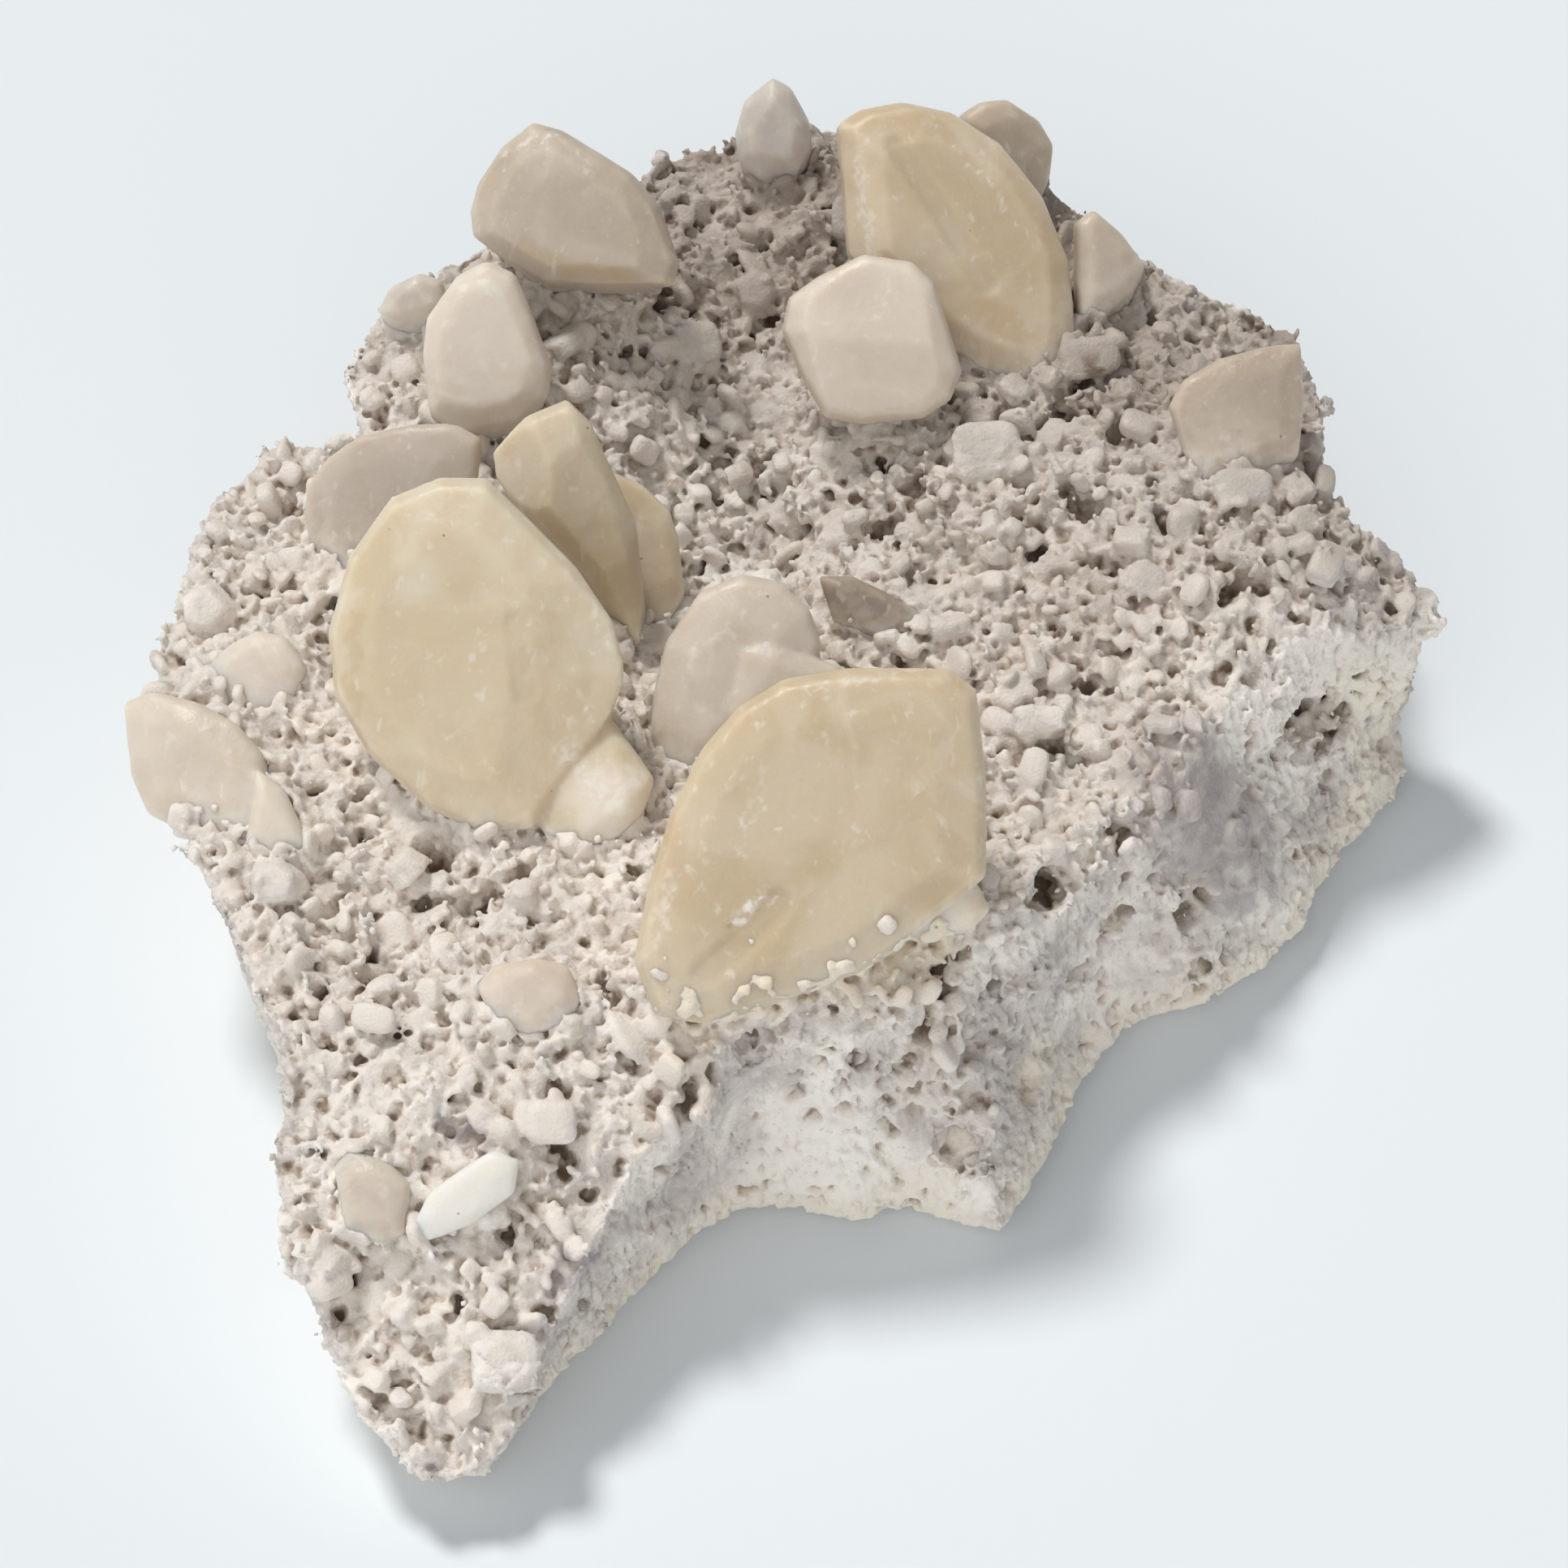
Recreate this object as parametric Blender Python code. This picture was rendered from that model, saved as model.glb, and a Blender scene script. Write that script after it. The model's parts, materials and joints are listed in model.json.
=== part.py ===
"""Yellow calcite crystals on a crusted rock plate, in metres, Z up, resting on its flat underside."""
import math
import random

import bmesh
import bpy
from mathutils import Matrix, Vector, noise
from mathutils.geometry import delaunay_2d_cdt

MM = 0.001

# plate
HUB = Vector((-9.0, 0.0))
RIM_COUNT = 100
BASE_FLAT_INSET = 5.0
BASE_EDGE_LIFT = 2.2
TOP_FIELD = (-68, -76, 140, 170)
TOP_SPACING = 4.9
TOP_SHIFT = 1.2
TOP_ROUGHNESS = 2.0
RIM_BLEND = 9.0
LUMP_SIZE = 6.5
WALL_STAGES = (0.0, 0.16, 0.36, 0.58, 0.8, 1.0)
WALL_ROUGHNESS = 1.7
WALL_LUMP_SIZE = 8.5
WALL_DRIFT = 1.1
LEDGE_DEPTH = 0.7
RIB_DEPTH = 0.55
RIB_TURNS = 61
RIB_FADE = 1.6
LEDGES_PER_MM = 0.9
LEDGE_WAVE = 3.0
LEDGE_WAVE_SIZE = 15.0
WALL_BULGE = 0.8
WALL_STRETCH = 1.4
EDGE_SWAY = 0.7
HEIGHT_LUMP_SIZE = 6.0
HEIGHT_DRIFT = 0.6
DRIFT_LUMP_SIZE = 5.0
VALLEY_FLOOR = 27.0
ARM_START_Y = -36.0
ARM_SLOPE = 0.55

# gap left round every crystal where it stands in the plate
POCKET_GAP = 0.42

# small crystals of the crust
CRUST_SEED = 11
CRUST_COUNT = 52
CRUST_SIZE = (2.6, 4.8)
CRUST_SPACING = 5.5
CRUST_FRONT = 0.9
CRUST_FACE_SHARE = 0.62
CRUST_ACROSS = (-62, 60)
CRUST_ALONG = (-66, 80)
CRUST_LEAN = (35, 85)
CRUST_LIFT = 0.2
CRUST_RIM_CLEARANCE = 4.0
SEEN_LEAN = 55
BENEATH_LARGE = ((-28, -5), (3, -25))

# points closer than this are one point after cutting
MERGE_DISTANCE = 0.004

# sections of a crystal: share of its outline, share of its front or back depth, points skipped
CROWN = ((1.0, 0.0, 1), (0.94, 0.5, 1), (0.62, 1.0, 2))
TAIL = ((0.97, 0.45, 2), (0.66, 1.0, 2))

# degrees under which neighbouring faces count as one flat face
HULL_FLATNESS = 0.4
FACET_FLATNESS = 1.0
POCKET_FLATNESS = 5.0

RIM = [
    (-29, -71.5, 7), (-25, -67.5, 9), (-21, -59.5, 13.5), (-16.5, -50.5, 18.5), (-10, -40, 24.5),
    (-3.5, -33.5, 27), (6, -32, 28), (13.5, -29, 28.5), (21.5, -21, 28.5), (26.5, -15.5, 28),
    (36.5, -5, 27.5), (43, 4, 27.5), (48.5, 11, 27.5), (57, 14.5, 26), (64.5, 17, 24), (66.5, 21.5, 22),
    (62.5, 26, 25.5), (56.5, 30.5, 28.5), (56.5, 40, 29), (55.5, 50, 28.5), (53, 57, 28), (46.5, 60.5, 28.5),
    (37, 66.5, 30), (29.5, 73, 31.5), (20, 82, 31.5), (7, 85.5, 30), (-7.5, 83, 29.5), (-15.5, 76.5, 30.5),
    (-24, 70, 33), (-35.5, 60.5, 32.5), (-42.5, 56, 31), (-46.5, 49, 29.5), (-44, 38.5, 28.5), (-53, 38.5, 28),
    (-58.5, 33.5, 28), (-61, 22, 28.5), (-63.5, 8, 28.5), (-60, -2, 28), (-57.5, -13, 27.5), (-54, -21, 27),
    (-50, -28.5, 27), (-46.5, -36, 26.5), (-48, -44, 22.5), (-47, -50.5, 19), (-44.5, -57.5, 15),
    (-38.5, -65.5, 10.5), (-34, -71.5, 7.5),
]
FOOT = [
    (-28.5, -69), (-25.5, -64.5), (-20.5, -56.5), (-17.5, -53), (-12.5, -46.5), (-6, -39.5), (-3, -38.5),
    (2, -38.5), (9, -40.5), (15.5, -37), (21, -43), (24.5, -38), (28, -29), (31.5, -22), (36.5, -16),
    (43, -15), (50, -9.5), (55, -3), (57, 3), (61.5, 7.5), (65, 13.5), (65, 21), (60, 27), (55, 33), (55, 42),
    (53.5, 50),
    (50, 56), (43, 59), (35, 63.5), (27, 70), (18, 78), (7, 81), (-7, 79), (-15, 73), (-24, 66), (-34, 57.5),
    (-40.5, 53), (-44, 46), (-43.5, 38), (-51, 36.5), (-57, 31.5), (-59, 21), (-60, 8), (-57, -2), (-54, -12.5),
    (-51, -20.5), (-48, -28), (-44, -36), (-45, -44), (-44, -51), (-42, -57.5), (-37.5, -64), (-33.5, -68.5),
]

# height above the floor, position and reach of the broad mounds on top
MOUNDS = [
    (7, -25, 58, 22, 18), (6, 15, 70, 22, 16), (5, 42, 33, 20, 20), (-7, -6, 23, 10, 18), (-5, -4, 50, 9, 12),
    (4, 4, -20, 16, 12), (3, -50, 10, 14, 20), (2.5, 47, 17, 12, 10), (3, 9, 41, 9, 7), (-3, -14, 27, 6, 7),
    (-2.5, 36, 4, 7, 6), (2, 25, 30, 8, 6), (-2, -38, -22, 8, 7),
]

# wall pits: place on the lower right wall, radius
WALL_PITS = [
    ((56, 7, 11.2), 2.2), ((49.8, 0, 14.8), 1.7), ((47.6, -3.1, 14.8), 1.3), ((33.4, -15.2, 17), 2.4),
    ((33.6, -18.2, 6), 1.8), ((29.4, -20, 13.3), 2.6), ((19.4, -31, 18.6), 2.6), ((16.7, -37, 10.3), 2.6),
    ((24, -30, 10.5), 2.0), ((-2.8, -34.5, 23.8), 2.0), ((26, -17.2, 26.3), 2.0), ((7.2, -34, 21.6), 1.6),
    ((41.8, -13.3, 7.4), 1.8), ((-7.4, -39.5, 16), 1.5),
]


def clear_scene():
    for obj in list(bpy.data.objects):
        bpy.data.objects.remove(obj, do_unlink=True)


def material(name, color, roughness):
    mat = bpy.data.materials.new(name)
    mat.use_nodes = True
    shader = mat.node_tree.nodes["Principled BSDF"]
    shader.inputs["Base Color"].default_value = (*color, 1.0)
    shader.inputs["Roughness"].default_value = roughness
    shader.inputs["Metallic"].default_value = 0.0
    return mat


def make_object(name, bm, mat, spot, holder):
    """A finished piece whose origin is at its own spot, held by the specimen's empty."""
    bmesh.ops.translate(bm, vec=-spot, verts=bm.verts)
    bmesh.ops.scale(bm, vec=(MM, MM, MM), verts=bm.verts)
    mesh = bpy.data.meshes.new(name)
    bm.to_mesh(mesh)
    bm.free()
    obj = bpy.data.objects.new(name, mesh)
    bpy.context.scene.collection.objects.link(obj)
    mesh.materials.append(mat)
    obj.location = spot * MM
    obj.parent = holder
    return obj


def ray_radius(outline, angle):
    """Distance from the hub to the outline along an angle, with the values carried between its points."""
    ray = Vector((math.cos(angle), math.sin(angle)))
    best = None
    for k, first in enumerate(outline):
        second = outline[(k + 1) % len(outline)]
        a = Vector(first[:2]) - HUB
        b = Vector(second[:2]) - HUB
        edge = b - a
        turn = ray.x * edge.y - ray.y * edge.x
        if abs(turn) < 1e-9:
            continue
        share = (a.y * ray.x - a.x * ray.y) / -turn
        reach = (a.x * edge.y - a.y * edge.x) / turn
        if -1e-9 <= share <= 1 + 1e-9 and reach > 0 and (best is None or reach > best[0]):
            height = 0.0
            if len(first) == 3:
                height = first[2] + (second[2] - first[2]) * share
            best = (reach, height)
    return best


def rim_angles():
    """Angles from the hub at even steps along the rim."""
    length = []
    total = 0.0
    for k, first in enumerate(RIM):
        second = RIM[(k + 1) % len(RIM)]
        step = (Vector(second[:2]) - Vector(first[:2])).length
        length.append((total, step))
        total += step
    angles = []
    for k in range(RIM_COUNT):
        goal = total * k / RIM_COUNT
        for index, (start, step) in enumerate(length):
            if start <= goal < start + step:
                first = Vector(RIM[index][:2])
                second = Vector(RIM[(index + 1) % len(RIM)][:2])
                point = first.lerp(second, (goal - start) / step) - HUB
                angles.append(math.atan2(point.y, point.x))
                break
    return angles


def top_height(x, y):
    """Smooth height of the plate's top."""
    height = VALLEY_FLOOR
    for rise, mx, my, rx, ry in MOUNDS:
        height += rise * math.exp(-((x - mx) / rx) ** 2 - ((y - my) / ry) ** 2)
    if y < ARM_START_Y:
        height -= ARM_SLOPE * (ARM_START_Y - y)
    return height


def lumps(point, size):
    """Two sizes of lump, the same at every build."""
    broad = noise.noise(point / size)
    fine = noise.noise(point / (0.45 * size) + Vector((7.0, 3.0, 1.0)))
    return broad + 0.6 * fine


def inside(outline, x, y, margin):
    point = Vector((x, y)) - HUB
    reach = ray_radius(outline, math.atan2(point.y, point.x))
    return reach is not None and point.length < reach[0] - margin


def wall_rings(angles):
    """Rings of points from the rim down the wall to the flat underside."""
    rings = []
    for stage in WALL_STAGES:
        ring = []
        for angle in angles:
            ray = Vector((math.cos(angle), math.sin(angle)))
            rim_reach, rim_height = ray_radius(RIM, angle)
            foot_reach, _ = ray_radius(FOOT, angle)
            height = BASE_EDGE_LIFT + (rim_height - BASE_EDGE_LIFT) * (1 - stage)
            reach = rim_reach + (foot_reach - rim_reach) * stage ** WALL_BULGE
            flat = HUB + ray * reach
            sway = lumps(Vector((flat.x, flat.y, height * WALL_STRETCH)), WALL_LUMP_SIZE) * WALL_ROUGHNESS
            rib = RIB_DEPTH * math.sin(angle * RIB_TURNS) * math.sin(math.pi * min(1.0, RIB_FADE * stage))
            wave = LEDGE_WAVE * noise.noise(Vector((flat.x, flat.y, 0)) / LEDGE_WAVE_SIZE)
            ledge = LEDGE_DEPTH * math.sin(height * LEDGES_PER_MM + wave)
            if stage in (0.0, 1.0):
                sway *= EDGE_SWAY
                ledge = 0.0
            reach += sway + rib + ledge
            place = HUB + ray * reach
            if 0.0 < stage < 1.0:
                height += lumps(Vector((flat.y, flat.x, height)), HEIGHT_LUMP_SIZE) * HEIGHT_DRIFT
                drift = lumps(Vector((height * 2, flat.x, flat.y)), DRIFT_LUMP_SIZE) * WALL_DRIFT
                place += Vector((-ray.y, ray.x)) * drift
            ring.append(Vector((place.x, place.y, height)))
        rings.append(ring)
    return rings


def top_points(rim_ring):
    """Staggered points over the top, away from the rim."""
    points = []
    left, front, width, depth = TOP_FIELD
    row_step = TOP_SPACING * math.sqrt(0.75)
    for row in range(int(depth / row_step)):
        y = front + row * row_step
        for column in range(int(width / TOP_SPACING)):
            x = left + (column + 0.5 * (row % 2)) * TOP_SPACING
            px = x + TOP_SHIFT * noise.noise(Vector((x, y, 4.0)) / 2.7)
            py = y + TOP_SHIFT * noise.noise(Vector((x, y, 31.0)) / 2.7)
            clear = all((px - r.x) ** 2 + (py - r.y) ** 2 > (0.72 * TOP_SPACING) ** 2 for r in rim_ring)
            if clear and inside(RIM, px, py, 1.5):
                points.append((px, py))
    return points


def surface_height(x, y):
    """Height of the lumpy top, which meets the rim at its edge."""
    rim_reach, rim_height = ray_radius(RIM, math.atan2(y - HUB.y, x - HUB.x))
    distance = rim_reach - (Vector((x, y)) - HUB).length
    blend = min(1.0, distance / RIM_BLEND)
    smooth = rim_height + (top_height(x, y) - rim_height) * blend
    return smooth + TOP_ROUGHNESS * lumps(Vector((x, y, 0.0)), LUMP_SIZE)


def lattice_cap(bm, ring, points, height_at, facing):
    """Close a ring of vertices with a net through loose points."""
    count = len(ring)
    coords = [Vector((v.co.x, v.co.y)) for v in ring] + [Vector(p) for p in points]
    edges = [(k, (k + 1) % count) for k in range(count)]
    cut = delaunay_2d_cdt(coords, edges, [], 1, 1e-5)
    place, faces, origin = cut[0], cut[2], cut[3]
    verts = []
    for k, co in enumerate(place):
        source = origin[k][0] if origin[k] else -1
        if 0 <= source < count:
            verts.append(ring[source])
        else:
            verts.append(bm.verts.new((co.x, co.y, height_at(co.x, co.y))))
    for face in faces:
        order = [verts[i] for i in face]
        if facing < 0:
            order.reverse()
        bm.faces.new(order)


def plate_mesh():
    """The rock plate without its crystals."""
    bm = bmesh.new()
    rings = [[bm.verts.new(co) for co in ring] for ring in wall_rings(rim_angles())]
    count = len(rings[0])
    for upper, lower in zip(rings, rings[1:]):
        for k in range(count):
            n = (k + 1) % count
            if k % 2:
                bm.faces.new((upper[k], lower[k], lower[n]))
                bm.faces.new((upper[k], lower[n], upper[n]))
            else:
                bm.faces.new((upper[k], lower[k], upper[n]))
                bm.faces.new((upper[n], lower[k], lower[n]))
    lattice_cap(bm, rings[0], top_points([v.co for v in rings[0]]), surface_height, 1)

    # the flat underside sits inside a raised ragged edge
    foot = rings[-1]
    floor = []
    for v in foot:
        ray = Vector((v.co.x, v.co.y)) - HUB
        reach = ray.length
        place = HUB + ray * ((reach - BASE_FLAT_INSET) / reach)
        floor.append(bm.verts.new((place.x, place.y, 0.0)))
    for k in range(count):
        n = (k + 1) % count
        bm.faces.new((foot[k], floor[k], floor[n]))
        bm.faces.new((foot[k], floor[n], foot[n]))
    lattice_cap(bm, floor, [], lambda x, y: 0.0, -1)
    bmesh.ops.recalc_face_normals(bm, faces=bm.faces)
    return bm


def ordered(bm):
    """The same mesh with its points and faces in a fixed order, so that every build comes out alike."""
    verts = sorted(bm.verts, key=lambda v: (round(v.co.x, 4), round(v.co.y, 4), round(v.co.z, 4)))
    number = {v: k for k, v in enumerate(verts)}
    faces = []
    for face in bm.faces:
        ring = [number[v] for v in face.verts]
        start = ring.index(min(ring))
        faces.append(tuple(ring[start:] + ring[:start]))
    fresh = bmesh.new()
    made = [fresh.verts.new(v.co) for v in verts]
    for ring in sorted(faces):
        fresh.faces.new([made[k] for k in ring])
    bm.free()
    return fresh


def flat_faced(bm, angle):
    """Melts the net of a hull into its flat faces and divides them again in a fixed order."""
    bmesh.ops.dissolve_limit(bm, angle_limit=math.radians(angle), verts=bm.verts, edges=bm.edges)
    bmesh.ops.recalc_face_normals(bm, faces=bm.faces)
    fresh = ordered(bm)
    bmesh.ops.triangulate(fresh, faces=fresh.faces)
    return ordered(fresh)


def hull_mesh(points):
    bm = bmesh.new()
    for p in points:
        bm.verts.new(p)
    made = bmesh.ops.convex_hull(bm, input=bm.verts)
    loose = [g for g in made["geom_interior"] + made["geom_unused"] if isinstance(g, bmesh.types.BMVert)]
    bmesh.ops.delete(bm, geom=list(set(loose)), context="VERTS")
    return flat_faced(bm, HULL_FLATNESS)


def direction(turn, lean):
    """Unit vector that a face looks along: turned from the front to the left, then leaned up."""
    a = math.radians(turn)
    e = math.radians(lean)
    return Vector((-math.sin(a) * math.cos(e), -math.cos(a) * math.cos(e), math.sin(e)))


class Crystal:
    """A flat faced crystal: an outline in a leaning plane, a crown in front, a back, and flat cut facets."""

    def __init__(self, at, turn, lean, outline, front, back, root=None, cuts=()):
        self.at = Vector(at)
        self.facing = direction(turn, lean)
        self.across = Vector((math.cos(math.radians(turn)), -math.sin(math.radians(turn)), 0.0))
        self.upward = self.facing.cross(self.across)
        if self.upward.z < 0:
            self.upward.negate()
        self.outline = outline
        self.front = front
        self.back = back
        self.root = root
        self.cuts = cuts

    def place(self, u, v, depth):
        return self.at + self.across * u + self.upward * v + self.facing * depth

    def points(self):
        cu = sum(p[0] for p in self.outline) / len(self.outline)
        cv = sum(p[1] for p in self.outline) / len(self.outline)
        layers = [(scale, share * self.front, step) for scale, share, step in CROWN]
        layers += [(scale, -share * self.back, step) for scale, share, step in TAIL]
        found = []
        for scale, depth, step in layers:
            for u, v in self.outline[::step]:
                found.append(self.place(cu + (u - cu) * scale, cv + (v - cv) * scale, depth))
        if self.root:
            rx, ry, rz, radius = self.root
            for k in range(6):
                turn = math.radians(60 * k)
                found.append(Vector((rx + radius * math.cos(turn), ry + radius * math.sin(turn), rz)))
        return found

    def mesh(self):
        bm = hull_mesh(self.points())
        for turn, lean, distance in self.cuts:
            away = direction(turn, lean)
            geometry = bm.verts[:] + bm.edges[:] + bm.faces[:]
            bmesh.ops.bisect_plane(
                bm, geom=geometry, dist=1e-4, plane_co=self.at + away * distance, plane_no=away, clear_outer=True
            )
            bmesh.ops.holes_fill(bm, edges=bm.edges, sides=0)
        return flat_faced(bm, FACET_FLATNESS)


# name, material, crystals grown together
CRYSTALS = [
    ("shield_crystal", "yellow", [
        Crystal((-29.5, 1.1, 38.9), 10, 50,
                [(-1.5, 17), (8.5, 9.5), (12.5, 5), (14.5, 0), (13.5, -4), (8.5, -12), (7.5, -16), (2.5, -17),
                 (-3, -15.5), (-9.5, -11), (-13.5, -6), (-15, 0), (-14, 7.5), (-10.5, 14), (-6, 16.5)],
                3.0, 8.0, root=(-29, 2, 22, 9), cuts=((10, 50, 2.6), (-12, 47, 3.5), (-32, 40, 10.8))),
        Crystal((-18.1, -8.9, 30.3), 5, 55,
                [(-2, 4.5), (1, 7), (3.5, 4), (5.5, 1.5), (4.5, -2), (2.5, -4.5), (-1, -6), (-5, -4.5), (-5.5, 0)],
                2.0, 7.0, root=(-18.5, -6, 22, 3)),
    ]),
    ("front_crystal", "yellow", [
        Crystal((2.4, -22.5, 39.6), 0, 48,
                [(-16.5, -11), (-15, -3.5), (-13, 3), (-10, 9), (-6.5, 13), (-2.5, 15.5), (3.5, 16.5), (13, 16.5),
                 (15.5, 14.5), (16.5, 6), (16.5, -3), (9, -9), (4.5, -12), (-3.5, -15), (-9.5, -17), (-14.5, -16)],
                2.6, 9.0, root=(2, -17, 22, 9), cuts=((0, 48, 2.2), (28, 40, 13.6), (0, 66, 6.2))),
        Crystal((14.5, -24.1, 31.9), -5, 55,
                [(-5, 0), (-2.5, 2.5), (1, 3.5), (4, 2), (5, -0.5), (3.5, -2), (-1.5, -3), (-4, -2)],
                1.6, 5.0, root=(14, -21, 24, 2.5)),
    ]),
    ("right_crystal", "yellow", [
        Crystal((18.8, 57.6, 37.0), -15, 48,
                [(-10.5, 15.5), (-8, 16.5), (-3.5, 16.5), (1.5, 14.5), (6, 10.5), (9.5, 4), (11, -3), (10, -13),
                 (8, -16.5), (5, -17), (-1, -13), (-8, -6), (-12, 2)], 4.0, 8.0,
                root=(22, 60, 24, 6), cuts=((-15, 48, 3.4), (48, 30, 9.2), (-60, 38, 8.6))),
    ]),
    ("rounded_block", "pale", [
        Crystal((8.6, 44.5, 37.1), 5, 52,
                [(-9, 0.5), (-8.5, 4), (-5.5, 6.5), (-1, 9), (4, 8.5), (6.5, 6.5), (8.5, 1.5), (10, -2.5), (9, -5.5),
                 (6.5, -7.5), (0, -8.5), (-4, -8), (-7, -3.5)],
                3.8, 3.8, root=(8, 46.5, 25, 3), cuts=((5, 60, 3.3), (5, 43, 3.3))),
    ]),
    ("back_left_crystal", "beige", [
        Crystal((-22.0, 58.3, 43.8), 10, 45,
                [(-10.5, -2.5), (-10, 0.5), (-8, 4.5), (-5, 7.5), (-2, 7), (6, 3.5), (9, 0.5), (12, -5),
                 (11.5, -7.5), (5.5, -8.5), (-1.5, -9), (-6.5, -7), (-10, -5)],
                3.6, 7.5, root=(-22, 62.5, 28, 4), cuts=((10, 45, 3.1), (-20, 38, 6.2))),
    ]),
    ("left_crystal", "pale", [
        Crystal((-30.7, 43.7, 36.9), 10, 46,
                [(-6.5, -1.5), (-6.5, 2.5), (-4, 7), (-1, 9), (2, 8), (4.5, 4), (7, -1), (7, -4), (4.5, -7),
                 (-1, -9), (-5, -7.5)], 3.0, 4.0, root=(-31, 44, 24, 4.5), cuts=((10, 46, 2.5), (-24, 44, 4.6))),
    ]),
    ("pale_disc", "pale", [
        Crystal((-39.8, 25.4, 32.4), 15, 45,
                [(-9, -2), (-9, 1), (-7.5, 4), (-4.5, 7), (0.5, 9), (5, 10), (8, 9), (8.5, 5), (3, -7.5),
                 (-3.5, -9.5), (-7, -7)], 1.5, 3.5, root=(-40, 24, 23, 4)),
    ]),
    ("narrow_crystal", "yellow", [
        Crystal((-20.8, 20.9, 35.2), -22, 42,
                [(-6, 9.5), (-2, 12), (2.5, 12.5), (4, 10), (5, 4), (6, -1.5), (5, -8), (3, -13.5), (1, -9),
                 (-3.5, 0.5), (-6.5, 7)], 3.0, 4.5, root=(-17, 20, 21, 3), cuts=((38, 38, 4.6),)),
        Crystal((-14.2, 25.6, 26.5), -10, 50,
                [(-3.5, 9), (0.5, 6.5), (3, 3.5), (3.5, 1), (3.5, -5), (1, -9), (-2.5, -7.5), (-3.5, -2)],
                1.5, 4.0, root=(-14, 23, 17, 2.5)),
    ]),
    ("middle_disc", "pale", [
        Crystal((-4.9, 4.1, 31.3), 5, 48,
                [(-8, -6), (-8, -2), (-7, 3.5), (-4, 8.5), (0, 10.5), (4, 10), (7, 7.5), (8.5, 4), (7.5, -0.5),
                 (0, -8.5), (-4, -10), (-6.5, -9.5)], 2.5, 3.5, root=(-5, 6, 20, 4)),
        Crystal((0.3, 2.8, 33.3), 0, 48,
                [(-6, -3.5), (-4.5, 3), (-1.5, 3.5), (2.5, 1.5), (5.5, 1), (4.5, -1.5), (-1.5, -5.5), (-5, -6)],
                1.5, 4.0),
    ]),
    ("far_left_crystal", "pale", [
        Crystal((-57.5, -4.7, 28.7), 25, 55,
                [(-9.5, 3.5), (-7, 5.5), (-2.5, 6), (2.5, 5.5), (6, 3.5), (9, -1.5), (9, -5), (2.5, -6.5),
                 (-3, -6), (-6, -3)], 2.0, 4.5, root=(-54.5, -1.5, 19, 3)),
        Crystal((-48.8, -11.7, 28.6), 10, 60,
                [(-3, 5), (0, 3.5), (3.5, -2), (1, -3.5), (-3, -2.5)], 1.5, 4.5),
    ]),
    ("upper_left_crystal", "pale", [
        Crystal((-52.6, 5.9, 29.9), 15, 60,
                [(-5.5, -1.5), (-3, 2.5), (-0.5, 4.5), (2.5, 4.5), (5, 2), (4.5, -2), (1.5, -4), (-3.5, -3.5)],
                1.6, 5.0),
    ]),
    ("right_block", "beige", [
        Crystal((46.4, 36, 35.0), -5, 52,
                [(-7, 1.5), (-5.5, 4), (-1.5, 6), (3.5, 7), (7, 7), (7, 1), (6, -4.5), (2.5, -6), (-4.5, -7),
                 (-6, -3)], 1.8, 4.5, root=(47, 37, 24, 4)),
    ]),
    ("back_centre_crystal", "grey", [
        Crystal((-0.8, 76.6, 37.2), 0, 40,
                [(-4.5, -1), (-3.5, 2.5), (-0.5, 5), (1.5, 4), (3.5, 0.5), (4, -2.5), (2.5, -5), (-2, -5.5),
                 (-4, -4)], 2.5, 3.0, root=(-0.8, 77, 26, 3)),
    ]),
    ("back_right_crystal", "beige", [
        Crystal((23.9, 72.4, 37.8), -20, 40,
                [(-4.5, 4.5), (-2, 5.5), (1, 5), (4, 2), (5, -1), (4, -4), (0, -5), (-4.5, 0)],
                2.0, 3.0, root=(24.3, 72.3, 27, 3)),
    ]),
    ("side_crystal", "pale", [
        Crystal((34.4, 58.8, 33.3), -15, 50,
                [(-2.5, 5.5), (-0.5, 6.5), (2, 3.5), (4, -0.5), (2, -3), (-2, -5), (-4.5, -5)],
                1.5, 5.0, root=(34.8, 59.5, 25, 2)),
    ]),
    ("small_left_crystal", "grey", [
        Crystal((-39.1, 54, 33.4), 10, 45,
                [(-3.5, -1.5), (-2.5, 1), (0.5, 3), (3, 2.5), (4, 0), (2, -2.5), (-2.5, -2.5)],
                2.0, 3.0, root=(-38.8, 54, 26, 2)),
    ]),
    ("low_crystal", "grey", [
        Crystal((8.9, 15.6, 28.4), 0, 55,
                [(-5.5, 3.5), (-2, 3.5), (1, 2), (4.5, 0), (6, -2), (1, -3), (-4, -1)], 1.5, 5.0),
    ]),
    ("front_left_crystal", "pale", [
        Crystal((-24, -32.2, 28.3), 5, 60,
                [(-5, 1), (-3.5, 3), (0.5, 4), (3.5, 3.5), (5, 0.5), (4, -2), (0.5, -3.5), (-3, -2.5)], 2.0, 5.0),
    ]),
    ("arm_plate", "beige", [
        Crystal((-38.4, -49.4, 21), 15, 60,
                [(-4, 2), (-3, 4), (1, 3.5), (3.5, 2), (4, -2.5), (2, -4), (-1.5, -3.5)], 1.4, 4.5),
    ]),
    ("white_plate", "white", [
        Crystal((-29.4, -50, 21.8), 0, 55,
                [(-5, -2.5), (-3.5, 0.5), (0, 3), (2.5, 4.5), (5, 3.5), (4.5, 0.5), (0.5, -2.5), (-3.5, -4)],
                0.8, 4.5),
    ]),
]

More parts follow.
